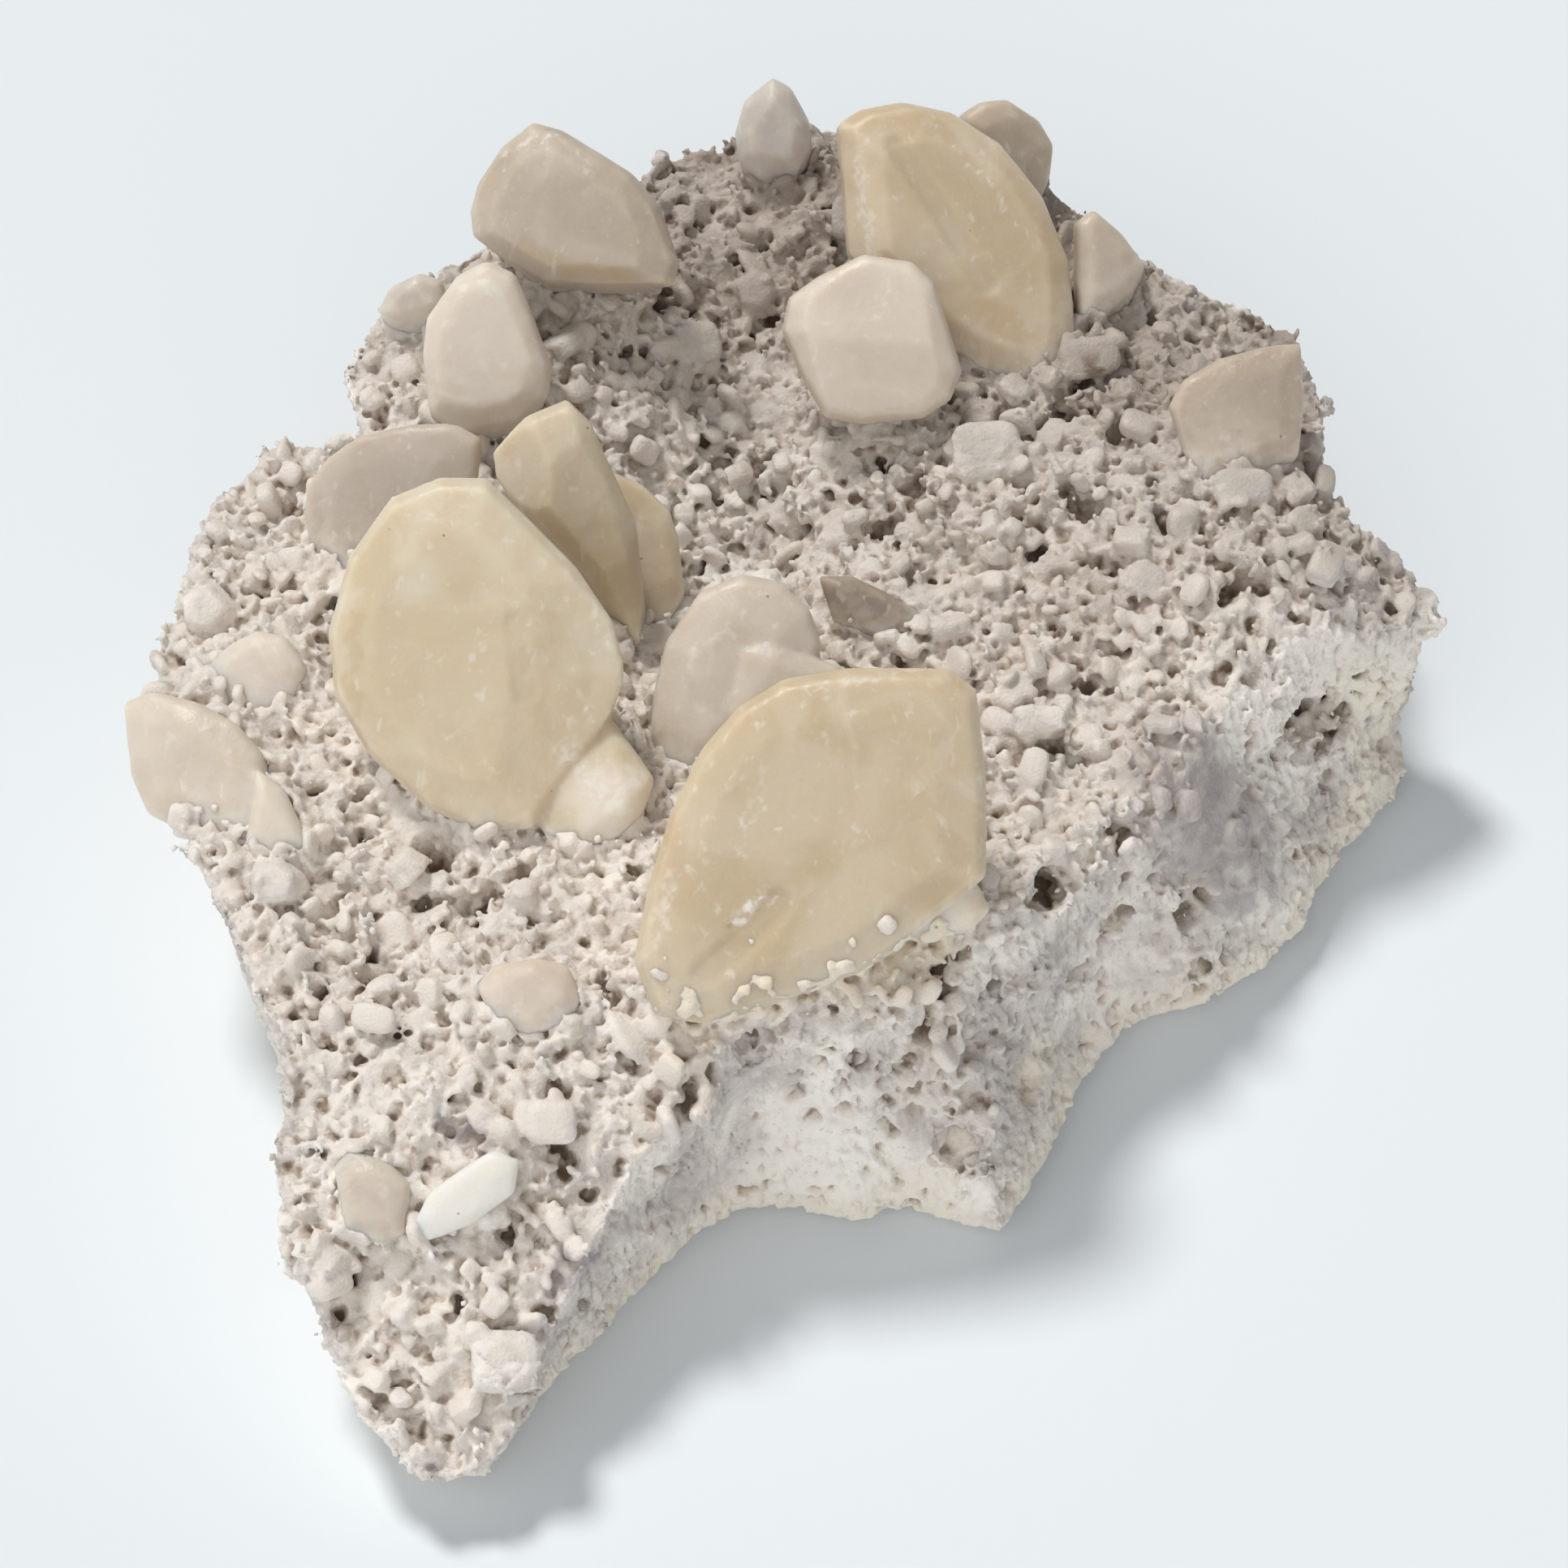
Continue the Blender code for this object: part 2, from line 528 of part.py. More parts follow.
# small flat faced crystals whose place the photo shows: place, reach across and up, turn
SEEN_SMALL = [
    ((46.7, 28.5, 32.4), 2.6, 2.2, 0), ((64.6, 20.3, 21.8), 2.8, 4.0, -30), ((21, 35.2, 30.4), 3.3, 3.4, -5),
    ((25.2, 1, 28.6), 2.3, 3.8, 0), ((-25.5, -62.4, 13.2), 3.0, 2.0, 0), ((-48.6, -18.5, 28.4), 2.6, 2.4, 10),
    ((-42.8, -54, 17.5), 2.6, 2.4, 20), ((-21.6, -43.1, 24), 2.2, 2.6, 0), ((36.4, 18.3, 29.8), 2.3, 2.0, -10),
    ((-58, 15, 29.0), 2.8, 2.4, 15), ((16, -10, 30.5), 2.6, 2.4, -10), ((32, 48, 31.0), 2.8, 2.6, -15),
    ((-3, 60, 28.5), 2.6, 2.4, 5), ((8, 66, 33.5), 2.6, 2.8, 5),
]


def small_crystal(place, across, up, turn, lean, chance):
    """A squat bevelled block half sunk in the crust, four to six sided and never regular."""
    sides = chance.choice((4, 5, 5, 6))
    start = chance.uniform(0, 360)
    outline = []
    for k in range(sides):
        angle = math.radians(start + 360 * (k + chance.uniform(-0.2, 0.2)) / sides)
        reach = chance.uniform(0.85, 1.2)
        outline.append((across * reach * math.cos(angle), up * reach * math.sin(angle)))
    crystal = Crystal(place, turn, lean, outline, CRUST_FRONT, CRUST_FRONT)
    found = []
    for scale, depth in ((CRUST_FACE_SHARE, CRUST_FRONT), (1.0, -CRUST_FRONT)):
        for u, v in outline:
            found.append(crystal.place(u * scale, v * scale, depth))
    return hull_mesh(found)


def crust_crystals():
    """Scattered small crystals of the crust, none of them on a large crystal."""
    chance = random.Random(CRUST_SEED)
    made = [small_crystal(place, a, u, turn, SEEN_LEAN, chance) for place, a, u, turn in SEEN_SMALL]
    taken = [Vector(place[:2]) for place, _, _, _ in SEEN_SMALL]
    taken += [Vector(spot) for spot in BENEATH_LARGE]
    placed = 0
    while placed < CRUST_COUNT:
        x = chance.uniform(*CRUST_ACROSS)
        y = chance.uniform(*CRUST_ALONG)
        size = chance.uniform(*CRUST_SIZE) * 0.5
        turn = chance.uniform(-180, 180)
        lean = chance.uniform(*CRUST_LEAN)
        if not inside(RIM, x, y, CRUST_RIM_CLEARANCE):
            continue
        if any((Vector((x, y)) - spot).length < CRUST_SPACING for spot in taken):
            continue
        taken.append(Vector((x, y)))
        z = surface_height(x, y) + CRUST_LIFT
        made.append(small_crystal((x, y, z), size, size * 1.1, turn, lean, chance))
        placed += 1
    return made


def temporary(name, bm):
    mesh = bpy.data.meshes.new(name)
    bm.to_mesh(mesh)
    bm.free()
    obj = bpy.data.objects.new(name, mesh)
    bpy.context.scene.collection.objects.link(obj)
    return obj


def joined(bodies):
    """Several closed bodies as the loose parts of one mesh."""
    whole = bmesh.new()
    for bm in bodies:
        mesh = bpy.data.meshes.new("loose")
        bm.to_mesh(mesh)
        bm.free()
        whole.from_mesh(mesh)
        bpy.data.meshes.remove(mesh)
    return whole


def combine(target, tool, operation):
    """Exact union or difference with a tool, whose loose parts may cross; the tool is used up."""
    modifier = target.modifiers.new("combine", "BOOLEAN")
    modifier.operation = operation
    modifier.solver = "EXACT"
    modifier.use_self = True
    modifier.object = tool
    depsgraph = bpy.context.evaluated_depsgraph_get()
    result = bpy.data.meshes.new_from_object(target.evaluated_get(depsgraph))
    target.modifiers.clear()
    old = target.data
    target.data = result
    bpy.data.meshes.remove(old)
    bpy.data.objects.remove(tool, do_unlink=True)


def grown(bm):
    """The convex body thickened all round by the pocket gap."""
    steps = (Vector((1, 0, 0)), Vector((-1, 0, 0)), Vector((0, 1, 0)), Vector((0, -1, 0)))
    steps += (Vector((0, 0, 1)), Vector((0, 0, -1)))
    points = []
    for v in bm.verts:
        for step in steps:
            points.append(v.co + step * POCKET_GAP * 1.25)
    bm.free()
    larger = flat_faced(hull_mesh(points), POCKET_FLATNESS)
    again = hull_mesh([v.co.copy() for v in larger.verts])
    larger.free()
    return again


def tidy(obj):
    """Merge doubled points, drop slivers and loose parts after cutting."""
    bm = bmesh.new()
    bm.from_mesh(obj.data)
    bmesh.ops.remove_doubles(bm, verts=bm.verts, dist=MERGE_DISTANCE)
    bmesh.ops.dissolve_degenerate(bm, dist=MERGE_DISTANCE, edges=bm.edges)
    bmesh.ops.triangulate(bm, faces=[f for f in bm.faces if len(f.verts) > 3])
    keep_largest(bm)
    bmesh.ops.recalc_face_normals(bm, faces=bm.faces)
    bm.to_mesh(obj.data)
    bm.free()


def keep_largest(bm):
    groups = []
    seen = set()
    for face in bm.faces:
        if face in seen:
            continue
        stack = [face]
        seen.add(face)
        group = []
        while stack:
            current = stack.pop()
            group.append(current)
            for edge in current.edges:
                for other in edge.link_faces:
                    if other not in seen:
                        seen.add(other)
                        stack.append(other)
        groups.append(group)
    groups.sort(key=len, reverse=True)
    for group in groups[1:]:
        bmesh.ops.delete(bm, geom=group, context="FACES")


def build_matrix(mat, holder):
    plate = temporary("plate", plate_mesh())
    combine(plate, temporary("small", joined(crust_crystals())), "UNION")
    pits = []
    for place, radius in WALL_PITS:
        bm = bmesh.new()
        bmesh.ops.create_icosphere(bm, subdivisions=1, radius=radius, matrix=Matrix.Translation(place))
        pits.append(bm)
    combine(plate, temporary("pits", joined(pits)), "DIFFERENCE")
    pockets = [grown(crystal.mesh()) for _, _, crystals in CRYSTALS for crystal in crystals]
    combine(plate, temporary("pockets", joined(pockets)), "DIFFERENCE")
    tidy(plate)
    bm = bmesh.new()
    bm.from_mesh(plate.data)
    bpy.data.objects.remove(plate, do_unlink=True)
    return make_object("matrix", bm, mat, Vector((0.0, 0.0, 0.0)), holder)


def build_crystal(name, crystals, mat, holder):
    body = temporary("body", crystals[0].mesh())
    for crystal in crystals[1:]:
        combine(body, temporary("part", crystal.mesh()), "UNION")
    tidy(body)
    bm = bmesh.new()
    bm.from_mesh(body.data)
    bpy.data.objects.remove(body, do_unlink=True)
    return make_object(name, bm, mat, crystals[0].at, holder)


def centre_on_origin(holder, objects):
    """Move the specimen so that the middle of its outline is at the origin; its underside is at zero."""
    corners = []
    for obj in objects:
        for v in obj.data.vertices:
            corners.append(obj.location + v.co)
    middle_x = (min(c.x for c in corners) + max(c.x for c in corners)) / 2
    middle_y = (min(c.y for c in corners) + max(c.y for c in corners)) / 2
    holder.location = (-middle_x, -middle_y, 0.0)


def main():
    clear_scene()
    mats = {
        "rock": material("matrix_rock", (0.62, 0.56, 0.51), 0.9),
        "yellow": material("calcite_yellow", (0.62, 0.51, 0.34), 0.35),
        "pale": material("calcite_pale", (0.66, 0.57, 0.46), 0.4),
        "beige": material("calcite_beige", (0.50, 0.41, 0.31), 0.4),
        "grey": material("calcite_grey", (0.44, 0.40, 0.35), 0.45),
        "white": material("calcite_white", (0.82, 0.78, 0.73), 0.5),
    }
    holder = bpy.data.objects.new("specimen", None)
    bpy.context.scene.collection.objects.link(holder)
    made = [build_matrix(mats["rock"], holder)]
    for name, colour, crystals in CRYSTALS:
        made.append(build_crystal(name, crystals, mats[colour], holder))
    centre_on_origin(holder, made)


main()
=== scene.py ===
import json
import math

import bpy
import numpy as np
from bpy.props import FloatProperty, FloatVectorProperty, IntProperty, PointerProperty
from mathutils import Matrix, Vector

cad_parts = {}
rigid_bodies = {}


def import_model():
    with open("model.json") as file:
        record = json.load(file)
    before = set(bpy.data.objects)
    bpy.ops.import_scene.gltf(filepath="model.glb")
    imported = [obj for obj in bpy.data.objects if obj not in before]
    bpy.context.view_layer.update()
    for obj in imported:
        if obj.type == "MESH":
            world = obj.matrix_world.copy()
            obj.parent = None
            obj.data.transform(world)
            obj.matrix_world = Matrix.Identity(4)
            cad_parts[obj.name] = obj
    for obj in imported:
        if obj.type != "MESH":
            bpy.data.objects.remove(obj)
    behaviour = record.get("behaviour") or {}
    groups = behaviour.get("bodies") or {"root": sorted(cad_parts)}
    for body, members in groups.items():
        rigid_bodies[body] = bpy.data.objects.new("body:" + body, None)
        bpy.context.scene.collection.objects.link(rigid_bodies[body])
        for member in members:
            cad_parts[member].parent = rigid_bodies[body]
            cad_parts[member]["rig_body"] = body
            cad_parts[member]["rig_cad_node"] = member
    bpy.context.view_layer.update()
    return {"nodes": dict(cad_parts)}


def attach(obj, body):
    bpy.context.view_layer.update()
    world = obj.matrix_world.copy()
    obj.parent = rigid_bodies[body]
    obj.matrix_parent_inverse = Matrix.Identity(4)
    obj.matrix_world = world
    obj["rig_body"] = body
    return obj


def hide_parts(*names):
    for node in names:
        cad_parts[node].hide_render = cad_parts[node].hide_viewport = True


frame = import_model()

bl_info = {
    "name": "Calcite cluster",
    "version": (1, 0, 0),
    "blender": (4, 5, 0),
    "location": "View3D > Sidebar > Calcite",
    "description": "Builds the looks of a cluster of yellow calcite on its crusted host rock",
    "category": "Object",
}

MM = 0.001
# every finished piece by its name
SHOWN = {}
# cells along each side before a cell pattern repeats
CELL_REPEAT = 48
# triangles of the finished rock, and the share that its flat underside keeps
ROCK_TRIANGLES = 970000
UNDERSIDE_SHARE = 0.03
CRUST_PARTS = ("crust_back", "crust_upper", "crust_middle", "crust_lower", "crust_front")

YELLOW = ("shield_crystal", "front_crystal", "right_crystal", "narrow_crystal")
PALE = (
    "rounded_block", "left_crystal", "pale_disc", "middle_disc", "far_left_crystal", "upper_left_crystal",
    "side_crystal", "front_left_crystal",
)
BEIGE = ("back_left_crystal", "right_block", "back_right_crystal", "arm_plate")
GREY = ("back_centre_crystal", "small_left_crystal", "low_crystal")

# how much darker or paler each crystal is than its kind
TONES = {
    "shield_crystal": (0.93, 0.97, 1.05), "front_crystal": (0.85, 0.84, 0.85),
    "right_crystal": (0.86, 0.86, 0.9), "narrow_crystal": (0.86, 0.88, 0.93),
    "rounded_block": (0.88, 0.88, 0.88), "left_crystal": (0.89, 0.9, 0.91),
    "pale_disc": (0.68, 0.67, 0.67), "middle_disc": (0.83, 0.83, 0.83),
    "far_left_crystal": (0.84, 0.84, 0.83), "upper_left_crystal": (0.86, 0.87, 0.9),
    "side_crystal": (0.68, 0.67, 0.66), "front_left_crystal": (0.79, 0.76, 0.75),
    "back_left_crystal": (0.86, 0.87, 0.88), "right_block": (0.76, 0.75, 0.75),
    "back_right_crystal": (0.8, 0.8, 0.8), "arm_plate": (0.84, 0.85, 0.88),
    "back_centre_crystal": (0.9, 0.9, 0.93), "small_left_crystal": (0.9, 0.9, 0.9),
    "low_crystal": (0.46, 0.41, 0.36), "white_plate": (0.9, 0.88, 0.86),
}

# flaws of the large crystals: kind, width in millimetres, strength and a path of points in millimetres
FLAWS = {
    "shield_crystal": (
        ("veil", 0.5, 0.9, ((-28.4, -3.7, 44.4), (-26.6, -4.6, 44.0), (-25.3, -5.3, 43.2))),
        ("veil", 0.35, 0.9, ((-20.8, -9.9, 38.1), (-20.0, -11.1, 36.9), (-18.6, -12.7, 34.3))),
        ("veil", 0.4, 0.7, ((-38.2, 6.0, 49.6), (-36.8, 5.3, 49.2))),
        ("veil", 0.4, 0.6, ((-35.7, 4.2, 48.9), (-34.6, 2.9, 48.6))),
        ("veil", 0.9, 0.5, ((-25.5, 3.5, 49.0), (-20.5, -1.8, 44.9), (-18.0, -6.6, 40.6))),
        ("veil", 3.5, 0.55, ((-22.0, -14.5, 34.2), (-17.4, -18.8, 30.8), (-16.2, -16.1, 32.5))),
        ("amber", 6.0, 0.3, ((-34.1, 0.9, 47.4), (-32.0, -2.0, 45.4))),
        ("pale", 10.0, 0.8, ((-18.6, -17.6, 31.6), (-16.9, -19.6, 30.0))),
        ("amber", 2.2, 0.5, ((-42.4, -3.6, 41.9), (-43.1, -8.9, 37.1), (-41.5, -12.6, 31.8))),
        ("amber", 2.6, 0.3, ((-25.5, -6.7, 41.9), (-24.5, -13.0, 36.0))),
        ("groove", 3.0, 0.3, ((-27.0, -5.5, 43.2), (-26.2, -10.5, 38.8))),
    ),
    "front_crystal": (
        ("veil", 0.4, 0.8, ((-4.9, -21.8, 47.6), (-2.7, -22.1, 48.3))),
        ("veil", 0.3, 0.6, ((-4.6, -25.6, 45.9), (-4.9, -30.2, 42.0))),
        ("veil", 0.3, 0.6, ((-3.3, -25.8, 45.9), (-3.2, -29.0, 43.0))),
        ("veil", 0.5, 0.9, ((-1.9, -29.6, 42.5), (-1.4, -30.0, 42.1))),
        ("veil", 0.4, 0.6, ((-3.9, -32.7, 39.7), (-3.2, -34.0, 38.5))),
        ("veil", 1.1, 1.0, ((-6.1, -36.1, 36.7), (-4.6, -35.5, 37.2), (-2.2, -34.6, 38.0))),
        ("veil", 0.25, 0.6, ((10.2, -22.3, 48.8), (10.2, -24.1, 47.5))),
        ("veil", 1.0, 0.5, ((2.0, -19.6, 50.3), (6.6, -18.7, 50.8), (11.1, -17.9, 50.3))),
        ("veil", 0.6, 0.5, ((16.9, -23.6, 46.2), (16.9, -26.6, 43.4), (16.7, -30.4, 39.6))),
        ("veil", 2.0, 0.4, ((-13.6, -37.9, 32.0), (-13.3, -36.6, 35.3), (-11.4, -32.4, 39.2))),
        ("amber", 3.0, 0.35, ((11.1, -28.0, 43.9), (14.9, -31.0, 40.4))),
        ("amber", 3.0, 0.3, ((1.3, -22.9, 48.5), (5.8, -24.6, 46.9))),
        ("pale", 11.0, 0.85, ((12.5, -32.3, 32.5), (16.6, -30.6, 32.5))),
        ("groove", 3.4, 0.5, ((-1.7, -34.8, 37.8), (-5.1, -37.4, 35.4), (-8.6, -39.7, 33.4))),
        ("groove", 1.2, 0.4, ((-6.1, -36.6, 36.4), (-4.2, -36.2, 36.6), (-2.2, -35.2, 37.4))),
    ),
    "right_crystal": (
        ("groove", 3.0, 0.45, ((10.4, 55.7, 47.3), (15.1, 51.0, 42.5), (19.8, 45.9, 37.0))),
        ("veil", 1.6, 0.45, ((6.7, 56.6, 47.6), (6.8, 52.3, 43.6), (7.9, 47.8, 39.8))),
        ("veil", 0.5, 0.6, ((14.3, 57.1, 47.7), (19.4, 54.4, 44.5), (23.2, 50.8, 40.4))),
        ("amber", 3.5, 0.6, ((19.8, 44.0, 35.3), (24.5, 42.0, 32.5))),
        ("speck", 0.4, 0.9, ((7.1, 59.1, 47.5), (7.2, 58.8, 47.6))),
    ),
    "middle_disc": (("veil", 1.2, 0.5, ((-10.5, -3.2, 34.0), (-8.7, -1.5, 35.7), (-6.1, -0.2, 37.1))),),
    "rounded_block": (("veil", 0.5, 0.4, ((7.8, 37.0, 40.4), (14.0, 38.5, 41.2))),),
    "back_left_crystal": (
        ("veil", 0.8, 0.5, ((-30.3, 53.9, 47.9), (-25.2, 55.0, 49.7), (-21.0, 52.3, 48.3))),
        ("amber", 2.5, 0.6, ((-28.6, 46.4, 42.4), (-23.6, 44.3, 41.0), (-17.7, 43.5, 40.0))),
    ),
}

GROOVE_DEPTH = 0.7 * MM

# coloured places of the host rock, mostly stains with a few patches of painted light and shade: colour,
# strength, width in millimetres and a path of points in millimetres
STAINS_AND_LIGHT_PATCHES = (
    ((0.34, 0.30, 0.295), 0.65, 17.0, ((37.0, -9.5, 24.0), (42.0, -11.5, 19.0), (46.0, -13.5, 13.0))),
    ((0.50, 0.45, 0.40), 0.6, 11.0, ((36.0, -21.0, 10.0), (45.0, -18.0, 8.0))),
    (
        (0.83, 0.73, 0.57), 0.9, 12.0,
        ((-9.5, -42.5, 30.0), (-1.7, -40.5, 32.0), (4.3, -39.0, 32.0), (12.0, -34.5, 30.0)),
    ),
    # painted light: a lighter patch in the valley between the crystals, where they cast shadow
    ((1.0, 0.96, 0.90), 0.8, 24.0, ((-8.0, 25.0, 24.0), (2.0, 39.0, 25.0))),
    # painted shade: a darker patch at the right of the crust, adding to the falloff shade
    ((0.66, 0.59, 0.53), 0.5, 18.0, ((22.0, 4.0, 29.0), (31.0, 9.0, 30.0))),
    ((0.98, 0.92, 0.84), 0.6, 14.0, ((-12.0, -60.0, 8.0), (4.0, -46.0, 10.0))),
    ((0.95, 0.88, 0.75), 0.8, 12.0, ((58.0, 4.0, 19.0), (61.0, 8.5, 13.0), (60.0, 2.0, 8.0))),
    ((0.88, 0.80, 0.66), 0.7, 8.0, ((24.4, -33.7, 11.0), (16.0, -40.0, 8.0))),
    ((0.21, 0.17, 0.19), 0.8, 3.6, ((-32.5, -50.2, 23.8), (-29.0, -51.2, 22.8))),
    ((0.30, 0.25, 0.28), 0.7, 5.0, ((-22.0, -61.9, 16.4), (-19.0, -59.4, 14.0))),
    ((0.45, 0.20, 0.07), 0.8, 1.6, ((-13.2, 29.7, 24.6), (-12.8, 29.7, 24.6))),
    ((0.10, 0.27, 0.29), 0.8, 1.3, ((-33.4, -49.4, 24.9), (-33.4, -49.4, 23.6))),
)
# smooth lilac grey face of the right wall: its path and width in millimetres
SMOOTH_WALL = (((37.0, -9.5, 24.0), (42.0, -11.5, 19.0), (46.0, -13.5, 13.0)), 20.0)
# lower edge of the front crystal, where the crust climbs on it: its path and width in millimetres
CLIMBING_EDGE = (((-9.5, -42.0, 30.0), (-1.7, -39.5, 32.0), (4.3, -38.0, 32.0), (9.8, -33.4, 30.0)), 15.0)
# holes between the crust's clumps: width in millimetres, order, and how rare they are
HOLES = ((3.4, 8, 0.72), (1.9, 9, 0.72), (5.5, 10, 0.86))
# cell patterns: width of a cell in metres and their order
CLUMP_ORDER = 3
WALL_STEPS = (1.9 * MM, 12)
WALL_PITS = (4.2 * MM, 21)
WALL_POCKS = (1.5 * MM, 34)
WALL_STALKS = (1.1 * MM, 40)
WALL_SUGAR = (0.6 * MM, 44)
WALL_CAVITIES = (2.3 * MM, 47)
CRUST_CRUMBS = (0.62 * MM, 51)
# how high or deep those forms are
STEP_HEIGHT = 0.5 * MM
POCK_DEPTH = 0.45 * MM
STALK_HEIGHT = 0.7 * MM
SUGAR_HEIGHT = 0.3 * MM
CAVITY_DEPTH = 1.3 * MM
CRUMB_HEIGHT = 0.28 * MM
# soft patches: their size in metres and their order
CRUST_PATCHES = (21 * MM, 2)
GRAIN_PATCHES = (15 * MM, 4)
EDGE_PATCHES = (11 * MM, 5)
CAVITY_PATCHES = (13 * MM, 6)
SUGAR_PATCHES = (26 * MM, 9)
CLIMBING_PATCHES = (4 * MM, 11)
# points below this height lie on the ground
GROUND_LEVEL = 0.35 * MM
# the crust begins at this height on the wall, and this much higher in places; lower towards the arm's tip
CRUST_FROM = 13 * MM
CRUST_FROM_VARIES = 5 * MM
ARM_FROM = -36 * MM
ARM_FALL = 0.3
# forms of the see-through grains: order, bevel and proportions
GRAIN_SHAPES = (
    (1, 0.6, (1, 0.85, 0.5)), (2, 0.65, (1, 0.75, 0.4)),
    (3, 0.55, (1.15, 0.8, 0.45)), (4, 0.45, (0.9, 0.9, 0.6)),
)
KNOB_SHAPES = (6, 7, 8)

# fixed tints of the materials
DUSTY = (0.60, 0.52, 0.44)
WALL_SPECK = (0.36, 0.30, 0.25)
# brown round the gaps, deepened as painted shade
GAP_RIM_BROWN_AND_SHADE = (0.47, 0.385, 0.30)
# colour of the painted shade towards the crust's back and right
PAINTED_BACK_SHADE = (0.45, 0.41, 0.38)
DARK_SPECK = (0.13, 0.095, 0.06)
# rim colour of the white plate, also its painted edge highlight
WHITE_RIM_AND_HIGHLIGHT = (0.93, 0.91, 0.88)

# the camera's target in metres, and the directions that the light comes from
CAMERA_TARGET = (-0.00126, -0.00700, 0.020)
SUN_FROM = (-0.36, 0.5, 1.0)
SUN_COLOUR = (1.0, 0.985, 0.965)
SUN_WIDTH = math.radians(12)
GLOW_FROM = (-0.28, -0.93, 0.24)
SKY_COLOUR = (0.975, 0.985, 1.0, 1.0)

# small crystals of the crust: x, y, z, half width in millimetres, turn and lean in degrees
CRUST_CRYSTALS = [
    (45.4, 21.5, 32.4, 2.6, 0, 55), (63.3, 13.3, 21.8, 2.8, -30, 55), (19.7, 28.2, 30.4, 3.3, -5, 55),
    (23.9, -6.0, 28.6, 2.3, 0, 55), (-26.8, -69.4, 13.2, 3.0, 0, 55), (-49.9, -25.5, 28.4, 2.6, 10, 55),
    (-44.1, -61.0, 17.5, 2.6, 20, 55), (-22.9, -50.1, 24.0, 2.2, 0, 55), (35.1, 11.3, 29.8, 2.3, -10, 55),
    (-59.3, 8.0, 29.0, 2.8, 15, 55), (14.7, -17.0, 30.5, 2.6, -10, 55), (30.7, 41.0, 31.0, 2.8, -15, 55),
    (-4.3, 53.0, 28.5, 2.6, 5, 55), (6.7, 59.0, 33.5, 2.6, 5, 55), (50.9, 34.6, 30.5, 1.4, 167, 52),
    (7.8, 15.9, 26.2, 1.4, 50, 85), (-2.6, 16.7, 22.3, 2.3, -88, 36), (34.8, 37.2, 30.1, 1.5, -103, 46),
    (39.4, 18.2, 31.6, 1.7, 118, 49), (-30.8, 40.8, 31.2, 2.2, 174, 41), (-5.7, 31.3, 23.7, 1.5, -82, 52),
    (2.2, 42.5, 27.3, 1.7, 148, 78), (20.5, 60.7, 32.9, 1.8, 180, 80), (-16.8, 50.4, 32.4, 2.3, -105, 78),
    (-10.4, 46.1, 27.8, 2.3, -8, 51), (-2.4, 0.0, 25.1, 1.9, 127, 66), (2.9, 12.7, 25.4, 1.5, 149, 66),
    (-14.2, 27.0, 23.4, 1.3, -108, 69), (-6.9, 38.6, 23.7, 1.7, -12, 61), (-29.2, -56.0, 19.2, 2.1, -122, 82),
    (-19.9, 20.3, 24.2, 2.0, -96, 82), (11.8, 34.9, 30.2, 1.6, -35, 38), (15.3, 7.2, 27.5, 2.0, 164, 54),
    (-4.3, -33.6, 29.2, 2.3, 59, 72), (-5.0, 69.1, 29.6, 1.6, 8, 82), (20.0, 18.7, 30.0, 1.3, -87, 36),
    (-37.6, -22.8, 27.4, 2.1, 122, 39), (-40.9, 22.5, 27.6, 1.9, -14, 51), (21.5, -0.8, 27.1, 2.1, -62, 79),
    (-26.1, -26.6, 28.2, 1.7, 156, 80), (-36.3, -64.6, 14.4, 1.5, -73, 36), (-36.4, 38.7, 31.4, 1.9, 95, 55),
    (-24.2, -16.2, 27.4, 1.9, -81, 79), (-34.6, 31.7, 29.3, 2.0, -99, 44), (-12.6, 39.7, 26.2, 1.5, 147, 76),
    (53.3, 12.6, 30.9, 2.2, -71, 74), (19.2, 36.0, 28.0, 2.2, -136, 57), (14.8, -7.8, 27.0, 1.7, -143, 66),
    (30.3, 46.9, 29.1, 1.7, -61, 56), (-26.9, -38.8, 27.0, 2.0, 5, 64), (51.3, 23.1, 30.5, 1.6, 62, 72),
    (5.6, -13.6, 28.0, 1.6, 140, 58), (-24.0, 42.3, 31.9, 2.3, 136, 47), (-18.3, 6.7, 25.3, 1.9, -121, 67),
    (-25.1, 58.4, 33.1, 2.3, 77, 42), (-47.1, 24.5, 28.3, 1.8, -153, 81), (-33.3, -32.3, 26.2, 1.9, -113, 80),
    (-24.2, -2.4, 26.6, 1.3, -75, 76), (-56.9, -7.5, 29.4, 2.3, -63, 65), (21.6, 46.7, 28.2, 2.1, 101, 73),
    (-58.2, -1.5, 29.4, 2.1, 175, 42), (11.4, -29.8, 29.4, 1.4, 128, 56), (-21.4, 28.4, 26.9, 2.3, 33, 79),
    (-13.2, -3.1, 26.5, 2.1, 6, 62), (-21.2, -41.5, 27.5, 1.3, -171, 67), (-29.2, -49.8, 24.1, 1.7, -9, 43),
]


def colour(name, text, default):
    return FloatVectorProperty(
        name=name, description=text, default=default, size=3, subtype="COLOR", min=0, max=1
    )


def length(name, text, default):
    return FloatProperty(
        name=name, description=text, default=default, subtype="DISTANCE", unit="LENGTH", precision=5
    )


def number(name, text, default):
    return IntProperty(name=name, description=text, default=default, min=0)


def strength(name, text, default):
    return FloatProperty(name=name, description=text, default=default, min=0)


